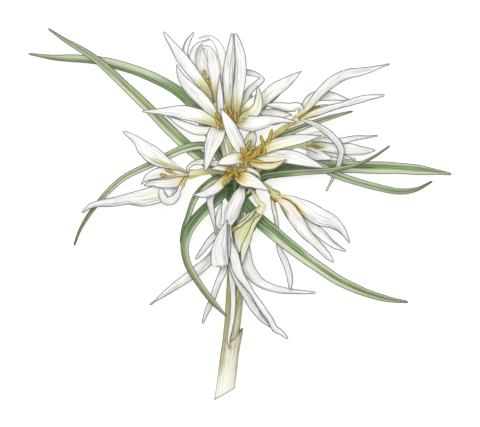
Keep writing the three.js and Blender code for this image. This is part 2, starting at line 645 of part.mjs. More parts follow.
        path: [[4.3, -0.9, 25.6], [0.6, -4.1, 23.4], [-4.4, -7.8, 20.2]] },
      { widths: [1.8, 1.8, 3, 5, 5, 4, 3, 2, 1], path: [[3.2, -8, 19.5], [2.3, -16.5, 16.2], [4.2, -23.3, 13],
        [8.6, -27.8, 9.5], [15, -30.3, 7.5], [22, -31.3, 6.5], [30.5, -31.8, 5]] },
      { widths: [2.2, 5.4, 7.6, 7, 4.6, 1.4], path: [[3.7, -3.5, 22.6], [0.7, -8.2, 20.5],
        [-0.5, -15.8, 18.4]] },
    ],
    stamens: [],
  },
  flower_hanging: {
    throat: [-4.9, -4, 25.3],
    axis: [-0.35, -0.9, -0.1],
    foot: [55, 75],
    tube: [[0.5, 8.6, 24.9], [-0.8, 5.6, 26.3], [-2.6, 2, 26.8]],
    radii: [0.9, 2.7, 3.1, 2.9],
    tepals: [
      { width: 7.7, widest: 0.47, path: [[-6.5, -12, 23.5], [-8, -19, 25], [-7.9, -21.2, 27.5],
        [-8.2, -15, 29.5], [-7.2, -9.5, 30.2], [-5.1, -2.2, 30.8]] },
      { widths: [1.8, 2.4, 2.9, 2.7, 2.2, 1.2], path: [[-8.5, -7, 22], [-12.1, -10.9, 20], [-14.9, -14.7, 18],
        [-17.8, -18.5, 16]] },
      { width: 4.2, path: [[-7, -10, 20], [-11, -17, 17.5], [-15, -21, 14.5], [-20, -24.8, 12],
        [-26, -29, 9], [-36.3, -36.8, 5]] },
      { widths: [2.2, 3, 3.6, 3.4, 2.8, 2.6, 2.2, 1], path: [[-5.8, -15, 18], [-6.4, -22, 17],
        [-8.9, -28, 14],
        [-11, -34, 11], [-13.3, -39.3, 8], [-15.1, -44.3, 6]] },
      { widths: [1.8, 2.4, 2.5, 2.5, 2.4, 2, 0.9], path: [[-4.3, -16, 19.5], [-3.5, -24, 18],
        [-2.8, -32, 16.3], [-2.9, -39, 15.2], [-3.8, -46, 13.8], [-4.6, -50.5, 12.8], [-4.3, -54.2, 12.2]] },
      { widths: [2.6, 4.4, 4.6, 4.3, 3.2, 2.2, 2.8, 2.8, 2.7, 1.1], path: [[-3.3, -10, 24.6],
        [-2, -17.5, 23.3], [-0.6, -23.6, 21], [3.2, -29.3, 18.2], [6.8, -34.7, 15.2], [9.7, -39, 13],
        [12, -42.3, 11.2], [13.9, -46, 9.4], [16.6, -47.8, 8], [19.3, -50.4, 6.4]] },
      { width: 2.6, path: [[-8.4, -5.6, 27], [-8.6, -2, 28], [-8.1, 1.2, 28.2], [-7, 4.8, 27.8]] },
      { widths: [1.8, 2.4, 2.6, 2.9, 3.3, 3.6, 3.4, 2.4, 0.9], path: [[-4.2, -16, 21.6], [-2.7, -22.5, 19.4],
        [-0.2, -28.2, 16.8], [3.1, -33.6, 14], [6, -38.5, 11.4], [8.9, -42.4, 9.4], [12.7, -45.8, 7.8]] },
    ],
    stamens: [],
  },
};

function leafSolid({ foot, path, widths }) {
  const start = [onHead(foot[0], foot[1], SEAT_GAP), onHead(foot[0], foot[1], SEAT_RISE)];
  const shape = { thickness: LEAF_THICKNESS, cup: LEAF_CUP, step: LEAF_STEP, least: 8 };
  return blade([...start, ...path], (t) => blended(widths, t), shape);
}

// The way from the throat's middle to the rim point under a tepal.
function spokeTo(throat, axis, target) {
  const spoke = vector(target).sub(throat);
  spoke.addScaledVector(axis, -spoke.dot(axis));
  return spoke.normalize();
}

function tepalSolid(throat, axis, { path, width, widest, widths }) {
  const spoke = spokeTo(throat, axis, path[0]);
  const root = throat.clone().addScaledVector(axis, -RIM_SINK).addScaledVector(spoke, RIM_RADIUS * 0.75);
  const rim = throat.clone().addScaledVector(axis, RIM_RISE).addScaledVector(spoke, RIM_RADIUS);
  const rootSide = new THREE.Vector3().crossVectors(axis, spoke);
  const shape = { thickness: TEPAL_THICKNESS, cup: TEPAL_CUP, step: TEPAL_STEP, least: 5, rootSide };
  const widthAt = (t) => (widths ? blended(widths, t) : tepalWidth(width, t, widest));
  return blade([root, rim, ...path], widthAt, shape);
}

function perianthSolid({ throat, axis, foot, tube: route, radii, tepals }) {
  const centre = vector(throat);
  const facing = vector(axis).normalize();
  const collar = centre.clone().addScaledVector(facing, -THROAT_DEPTH);
  const start = [onHead(foot[0], foot[1], SEAT_GAP), onHead(foot[0], foot[1], SEAT_RISE)];
  const stalk = tube([...start, ...route, collar, centre], radii);
  const cupRadii = [radii.at(-1) * 0.8, THROAT_RADIUS, THROAT_RADIUS];
  const cup = tube([collar, centre], cupRadii, { step: THROAT_DEPTH / 2, least: 2 });
  const blades = tepals.map((tepal) => tepalSolid(centre, facing, tepal));
  return wholeBody(joined([stalk, cup, ...blades]).simplify(FACET_TOLERANCE));
}

function stamenSolid({ throat, axis, stamens }) {
  const centre = vector(throat);
  const facing = vector(axis).normalize();
  const seat = centre.clone().addScaledVector(facing, STAMEN_LIFT);
  const seatTop = centre.clone().addScaledVector(facing, STAMEN_LIFT + 0.8);
  const solids = [tube([seat, seatTop], [STAMEN_RING, STAMEN_RING], { least: 1 })];
  for (const [near, far] of stamens) {
    const spoke = spokeTo(centre, facing, near);
    const foot = seat.clone().addScaledVector(spoke, STAMEN_RING * 0.35).addScaledVector(facing, 0.2);
    const rise = foot.clone().addScaledVector(facing, 2.2).addScaledVector(spoke, 0.3);
    const thread = [FILAMENT_RADIUS, FILAMENT_RADIUS];
    solids.push(tube([foot, rise, near], thread, { sides: 5, step: 6, least: 2 }));
    const swell = [0.5, 0.95, 1, 0.85, 0.5].map((share) => share * ANTHER_RADIUS);
    const inset = vector(near).lerp(vector(far), -0.12);
    solids.push(tube([inset, far], swell, { sides: 5, step: 2, least: 3 }));
  }
  return wholeBody(joined(solids).simplify(FACET_TOLERANCE));
}

function meshOf(solid, name, look) {
  const mesh = solid.getMesh();
  const geometry = new THREE.BufferGeometry();
  geometry.setAttribute("position", new THREE.BufferAttribute(new Float32Array(mesh.vertProperties), 3));
  geometry.setIndex(new THREE.BufferAttribute(new Uint32Array(mesh.triVerts), 1));
  geometry.computeVertexNormals();
  const made = new THREE.Mesh(geometry, new THREE.MeshStandardMaterial(COLOURS[look]));
  made.name = name;
  return made;
}

const plant = new THREE.Group();
plant.name = "colchicum_crocifolium";
plant.add(meshOf(neckSolid(), "stem", "neck"));
for (const [name, leaf] of Object.entries(LEAVES)) {
  plant.add(meshOf(leafSolid(leaf), name, "leaf"));
}
for (const [name, flower] of Object.entries(FLOWERS)) {
  plant.add(meshOf(perianthSolid(flower), name, flower.colour ?? "tepal"));
  if (flower.stamens.length) {
    plant.add(meshOf(stamenSolid(flower), name.replace("flower", "stamens"), "stamen"));
  }
}

export default plant;
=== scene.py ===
"""Visual model of a cut spray of colchicum crocifolium that lies on its side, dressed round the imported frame.

Every shape is a surface of two parameters worked out as whole arrays: blades for the tepals and leaves,
tubes for the stalks, filaments and anthers, all carried along smooth paths. The tables are in millimetres,
in the frame's own axes, and the meshes in metres.
"""

import logging
import math
from dataclasses import dataclass, field
from enum import Enum

import bpy
import numpy as np
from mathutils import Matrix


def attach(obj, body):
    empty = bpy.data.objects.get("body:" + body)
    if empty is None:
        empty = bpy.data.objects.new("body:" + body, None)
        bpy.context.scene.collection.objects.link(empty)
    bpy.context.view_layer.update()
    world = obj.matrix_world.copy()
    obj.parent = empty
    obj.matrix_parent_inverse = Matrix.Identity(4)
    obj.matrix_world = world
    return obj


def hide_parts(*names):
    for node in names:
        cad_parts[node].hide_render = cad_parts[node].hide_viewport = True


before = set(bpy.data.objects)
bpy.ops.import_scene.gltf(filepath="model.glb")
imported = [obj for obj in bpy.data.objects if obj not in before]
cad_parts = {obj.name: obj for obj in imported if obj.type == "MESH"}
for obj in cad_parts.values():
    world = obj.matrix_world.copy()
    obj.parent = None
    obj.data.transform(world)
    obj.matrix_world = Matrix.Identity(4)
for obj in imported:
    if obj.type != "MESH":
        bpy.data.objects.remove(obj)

LOG = logging.getLogger("colchicum")
MM = 0.001
SEED = 61
FINE_CUTS = 60  # first cuts of a path for each of its points
ACROSS_SOFT = 1.5  # how much softer a tint is across than along
ROOT_WIDTH = 2.1  # least width of a tepal by the rim
CLAW = 0.42  # width of a tepal at its root, as a share of the greatest
FOOT_DEPTH = 0.25  # how far a tube or leaf starts inside the head
FOOT_RISE = 1.4  # how far off the head it has turned straight out
MARGIN_WAVES = ((5.5, 2.3), (6.1, 2.7))  # lengths over 2 pi of the left and right margin's two waves
MARGIN_SWELL = (0.035, 0.02)  # heights of these two waves, as shares of the width
FLUTTER = ((4.2, 1.0), (2.4, 0.6))  # waves out of a blade: length over 2 pi, and height
FAR = 3.0  # margin value of points that no outline reaches
# On a tube's flanks, as seen from above, this low margin value lets the outline colour paint shade along both
# sides.
FLANK_SHADE_MARGIN = 0.12  # margin value on the flanks of a tube
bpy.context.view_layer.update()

Point = tuple[float, float, float]
Colour = tuple[float, float, float]
Marks = dict[str, np.ndarray]
Sockets = dict[str | int, object]


class StainOrShade(Enum):
    """What a tint lays on a blade, GREY as painted shade; the value names the mesh attribute that carries it.
    """

    GOLD = "gold"
    LIME = "lime"
    # painted shade: grey washes where shade falls on a blade, beside, under and behind other parts
    GREY = "grey"
    BROWN = "brown"
    BLUSH = "blush"
    DEEP = "deep"
    PALE = "pale"
    OLIVE = "olive"

    def __call__(self, *numbers: float) -> "Tint":
        """Gives a tint of this kind from the numbers that follow stain_or_shade in a Tint."""
        return Tint(self, *numbers)


GOLD, LIME, GREY, BROWN, BLUSH, DEEP, PALE, OLIVE = StainOrShade


@dataclass(frozen=True)
class Tint:
    """A soft-edged tint on a blade or tube: one of its own colours, or painted shade where it is grey.

    Args:
        stain_or_shade: what is laid on, a colour of its own or painted shade.
        start: where it starts, in shares of the length from the throat or foot.
        end: where it ends.
        strength: how much of it there is in its middle, where 1 is full; more than 1 widens the full part.
        soft: how far its ends fade, as a share of the length; across it fades over 1.5 times as much.
        right: where it starts across, from -1 at the right margin as seen from above to 1 at the left one.
        left: where it ends across.
    """

    stain_or_shade: StainOrShade
    start: float
    end: float
    strength: float = 1.0
    soft: float = 0.16
    right: float = -1.6
    left: float = 1.6


@dataclass(frozen=True)
class TepalPlan:
    """A tepal: the points it passes beyond the throat, its widths, its tints, and where it is widest.

    It has either a row of widths, evenly spaced along it, or one greatest width.
    """

    path: tuple[Point, ...]
    widths: tuple[float, ...]
    tints: tuple[Tint, ...] = ()
    widest: float = 0.5


@dataclass(frozen=True)
class FlowerPlan:
    """A flower: its throat and the way it faces, its tube from the head, its tepals and anther ends."""

    name: str
    throat: Point
    axis: Point
    foot: tuple[float, float]
    tube: tuple[Point, ...]
    radii: tuple[float, ...]
    tepals: tuple[TepalPlan, ...]
    stamens: tuple[tuple[Point, Point], ...] = ()
    tube_tints: tuple[Tint, ...] = ()
    anther: Colour = (0.74, 0.53, 0.1)
    pale_threads: float = 0.0

    def frame(self) -> tuple[np.ndarray, np.ndarray]:
        """Gives the middle of the throat and the way it faces."""
        return np.array(self.throat), unit(np.array(self.axis))

    def spoke(self, target: Point) -> np.ndarray:
        """Gives the way from the throat's middle to the rim point under a target."""
        centre, facing = self.frame()
        way = np.array(target) - centre
        return unit(way - facing * (way @ facing))


@dataclass(frozen=True)
class LeafPlan:
    """A leaf: its node, where it leaves the head, the points it passes, its widths and its tints."""

    node: str
    foot: tuple[float, float]
    path: tuple[Point, ...]
    widths: tuple[float, ...]
    tints: tuple[Tint, ...] = ()


NECK_PATH: tuple[Point, ...] = (
    (-6.3, -72.6, 3.6), (-5.1, -64.0, 3.6), (-4.2, -56.0, 4.9), (-3.7, -50.0, 6.2), (-2.7, -40.0, 8.4),
    (-2.1, -30.0, 10.4), (-2.0, -15.0, 13.3), (-1.8, -2.0, 15.8), (-1.2, 8.0, 17.5),
)

# Washes that many petals or tubes share, the grey ones painted shade: start, end, strength, softness, and the
# right and left limits.
GOLD_BASE = GOLD(-0.3, 0.14, 0.55, 0.2)
GOLD_FAN = GOLD(-0.3, 0.36, 1.1, 0.42, -0.8, 0.8)
OLIVE_FAN = OLIVE(-0.3, 0.3, 0.9, 0.26, -0.75, 0.75)
LIME_BASE = LIME(-0.3, 0.3, 0.8, 0.3)
LIME_ALL = LIME(-0.3, 1.2, 0.75, 0.3)
BROWN_THROAT = BROWN(-0.3, 0.13, 0.8, 0.2, -0.55, 0.55)
BLUSH_ALL = BLUSH(-0.3, 1.3, 0.8)
BLUSH_BASE = BLUSH(-0.3, 0.45, 0.9, 0.3)
LEFT_SHADE = GREY(0.1, 0.9, 0.5, 0.26, 0.35, 1.5)
LEFT_DARK = GREY(0.15, 1.2, 0.9, 0.2, 0.2)
RIGHT_DARK = GREY(0.15, 1.2, 0.9, 0.2, -1.6, -0.2)
MIDDLE_SHADE = GREY(0.1, 0.85, 0.55, 0.2, -0.25, 0.25)
ALL_SHADE = GREY(-0.2, 1.2, 0.5, 0.3)
TIP_SHADE = GREY(0.7, 1.3, 0.55, 0.24)
PALE_EDGE = PALE(-0.3, 1.3, 0.45, 0.2)
LIME_TUBE = LIME(-0.2, 1.2, 0.9)
BROWN_FLANK = BROWN(-0.2, 1.2, 0.6, 0.06, -1.3, -0.8)

LEAVES: tuple[LeafPlan, ...] = (
    LeafPlan("leaf_upper_left", (85, 230),
        ((-9, 15.5, 14.5), (-14, 21, 14), (-25, 30.5, 14), (-40, 45.5, 13), (-58, 62, 7.5),
        (-70, 69.5, 2.6), (-77.2, 74.4, 0.44)),
        (3.2, 4.6, 4.4, 4.1, 3.4, 2.6, 0.9), (DEEP(-0.2, 0.97, 0.45, 0.2, -0.45, 0),
        DEEP(-0.2, 0.3, 0.9, 0.16, -1, 0.2), DEEP(0.3, 0.62, 0.85, 0.08, 0, 0.2),
        DEEP(0.2, 0.9, 0.45, 0.16, -1.2, -0.6), PALE(0.3, 0.95, 0.5, 0.1, -0.45, -0.2),
        PALE(0.1, 0.66, 0.9, 0.16, 0.35, 0.9), OLIVE(0.4, 1, 0.3, 0.16, -0.35, 0.3), OLIVE(0.9, 1.2, 0.6))),
    LeafPlan("leaf_far_left", (95, 255),
        ((-6, 20, 10), (-11, 30, 9.5), (-19, 43.5, 9), (-25, 49.2, 9), (-40, 56.7, 8), (-57, 61.5, 4.5),
        (-75, 62.7, 2.4), (-85.1, 64.2, 1.6)),
        (2.8, 4.2, 4.3, 4.2, 3.8, 3.2, 0.9), (PALE(0.45, 1, 0.9, 0.16, -0.9, 0.1),
        DEEP(0.36, 0.95, 0.95, 0.14, 0.25, 1.3), DEEP(0.5, 0.98, 0.6, 0.1, 0.35, 1.3),
        DEEP(-0.2, 0.5, 0.6, 0.2, -1.3, 0.4), DEEP(-0.2, 0.36, 1.05, 0.16, -1.3, 0.1),
        OLIVE(0.86, 1.2, 0.5))),
    LeafPlan("leaf_low_left", (58, 224),
        ((-9, 23.5, 18), (-14, 27, 18.5), (-22, 26, 18.5), (-35, 20, 17), (-47, 14, 12), (-58, 3, 6),
        (-64, -6, 2.8), (-66.7, -13, 1.2)),
        (2.6, 3.3, 3.3, 2.7, 2.4, 1.7, 0.9), (DEEP(-0.2, 0.25, 0.9, 0.16, -1.3, 0.2),
        DEEP(0.1, 0.8, 0.75, 0.1, -0.15, 0.15), PALE(0.15, 0.85, 0.9, 0.16, 0.2, 0.8),
        DEEP(0.72, 1.2, 0.7, 0.16, -1.6, 0.5), OLIVE(0.8, 1.2, 0.5))),
    LeafPlan("leaf_thin", (58, 178),
        ((-9, 14, 22), (-14, 11, 22.5), (-18, 6, 20), (-20.7, -1, 16.4), (-22.8, -7, 14), (-23.9, -12, 12)),
        (2, 2.8, 2.8, 2.4, 2, 0.9), (DEEP(-0.2, 0.5, 0.95, 0.16, -1.3, 0),
        DEEP(0.4, 1.1, 0.6, 0.16, -1.3, -0.1), PALE(0.2, 0.9, 0.7, 0.16, 0.1, 0.7), OLIVE(0.8, 1.2, 0.6))),
    LeafPlan("leaf_curled_front", (47, 144),
        ((-7, 8.3, 22.9), (-10, 5.4, 22.3), (-13.5, 2.2, 21.3), (-17, -1.5, 20), (-20.5, -6.5, 18.5),
        (-22.2, -13, 17), (-21, -20, 16.5), (-17, -27, 16.5), (-12, -34, 15.5), (-8, -38.5, 14.5),
        (-5.3, -41.3, 13.6)),
        (3.6, 4.6, 4.2, 3.6, 3, 2.8, 2.4, 0.9), (DEEP(-0.2, 0.12), DEEP(-0.2, 0.42, 1.05, 0.16, -1.3, 0.45),
        PALE(0.4, 0.9, 0.7, 0.16, 0.35, 0.8), DEEP(0.35, 1, 0.85, 0.16, -0.9, -0.1), OLIVE(0.45, 1.2, 0.3))),
    LeafPlan("leaf_low_right", (92, 60),
        ((6.6, -1.6, 19.2), (13.6, -7.7, 18), (20, -13, 16), (30, -20.5, 12), (40, -27, 8),
        (50, -31.5, 4.6), (60, -34.5, 2.1), (67.7, -35.6, 1.1)),
        (4.6, 5.6, 5.3, 4.8, 4.3, 3.7, 2.9, 1.1), (DEEP(-0.2, 0.2, 0.95, 0.16, -1.3, 1.3),
        DEEP(-0.2, 0.42, 0.8, 0.16, -0.15, 0.75), DEEP(0.1, 0.62, 0.8, 0.08, -0.02, 0.22),
        DEEP(0.5, 1, 0.9, 0.12, -0.2, 0.3), PALE(0.22, 0.75, 1.1, 0.12, -0.8, -0.2),
        PALE(0.3, 0.7, 0.8, 0.14, 0.45, 0.95), OLIVE(0.6, 1.2, 0.25))),
    LeafPlan("leaf_recurved", (72, 5),
        ((9, 14.3, 20.5), (15, 15.6, 21.5), (25, 16.6, 22), (35, 17.2, 21), (42, 18.3, 21), (48, 20, 22),
        (54, 23, 23), (60.1, 27.2, 24)),
        (2.2, 2.7, 2.7, 2.4, 1.9, 1.3, 0.9), (DEEP(-0.2, 0.32, 0.9, 0.16, -0.9, 0.4),
        PALE(0.2, 0.8, 0.5, 0.16, 0.2, 0.9), DEEP(0.6, 1.1, 0.8, 0.16, -0.9, 0.1), OLIVE(0.25, 1.2, 0.3))),
    LeafPlan("leaf_right", (120, 315),
        ((6, 13, 11.5), (15, 17.8, 11), (35, 18.8, 10), (50, 18.6, 7.4), (65, 18, 3.6), (78, 16.8, 0.9),
        (85.1, 15.8, 0.45)),
        (3.4, 4.8, 5, 5, 4.9, 4.3, 1.2), (DEEP(-0.2, 0.4, 1.05, 0.16, -1.3, 0.6),
        DEEP(0.35, 0.66, 1, 0.12, -0.25, 0.4), DEEP(0.55, 0.96, 0.9, 0.12, 0, 0.5),
        PALE(0.5, 1, 0.7, 0.1, 0.65, 0.95), PALE(0.5, 1, 0.9, 0.12, -0.85, -0.3))),
    LeafPlan("leaf_right_thin", (83, 333),
        ((8, 15, 14.5), (15, 19.5, 14.5), (25, 21.3, 14.5), (32, 18.9, 14.8), (38, 15.9, 14.8),
        (45, 13.3, 12.5), (55, 10.6, 8), (64, 8.9, 5), (71, 9.8, 3), (77.5, 13.1, 2)),
        (2.4, 3.2, 3.3, 3.2, 2.9, 2.5, 0.9), (DEEP(-0.2, 0.3, 0.95, 0.16, -1.3, 1.3),
        DEEP(0.2, 0.95, 0.7, 0.12, -0.15, 0.2), PALE(0.2, 0.95, 0.6, 0.16, 0.35, 0.95),
        DEEP(0.72, 1.1, 0.6, 0.16, -0.7, 0.5))),
    LeafPlan("leaf_upper_right", (85, 300),
        ((8, 24, 13.5), (14, 30, 15), (22, 33.4, 16), (30, 36.5, 16), (38, 39, 15), (45.3, 41, 14)),
        (2.2, 3, 3.1, 2.8, 2, 0.9), (DEEP(-0.2, 0.35, 1, 0.16, -1.3, 1.3),
        DEEP(0.2, 0.85, 0.8, 0.16, -0.2, 0.35), PALE(0.3, 1, 0.8, 0.16, -0.9, -0.3), OLIVE(0.8, 1.2, 0.4))),
)

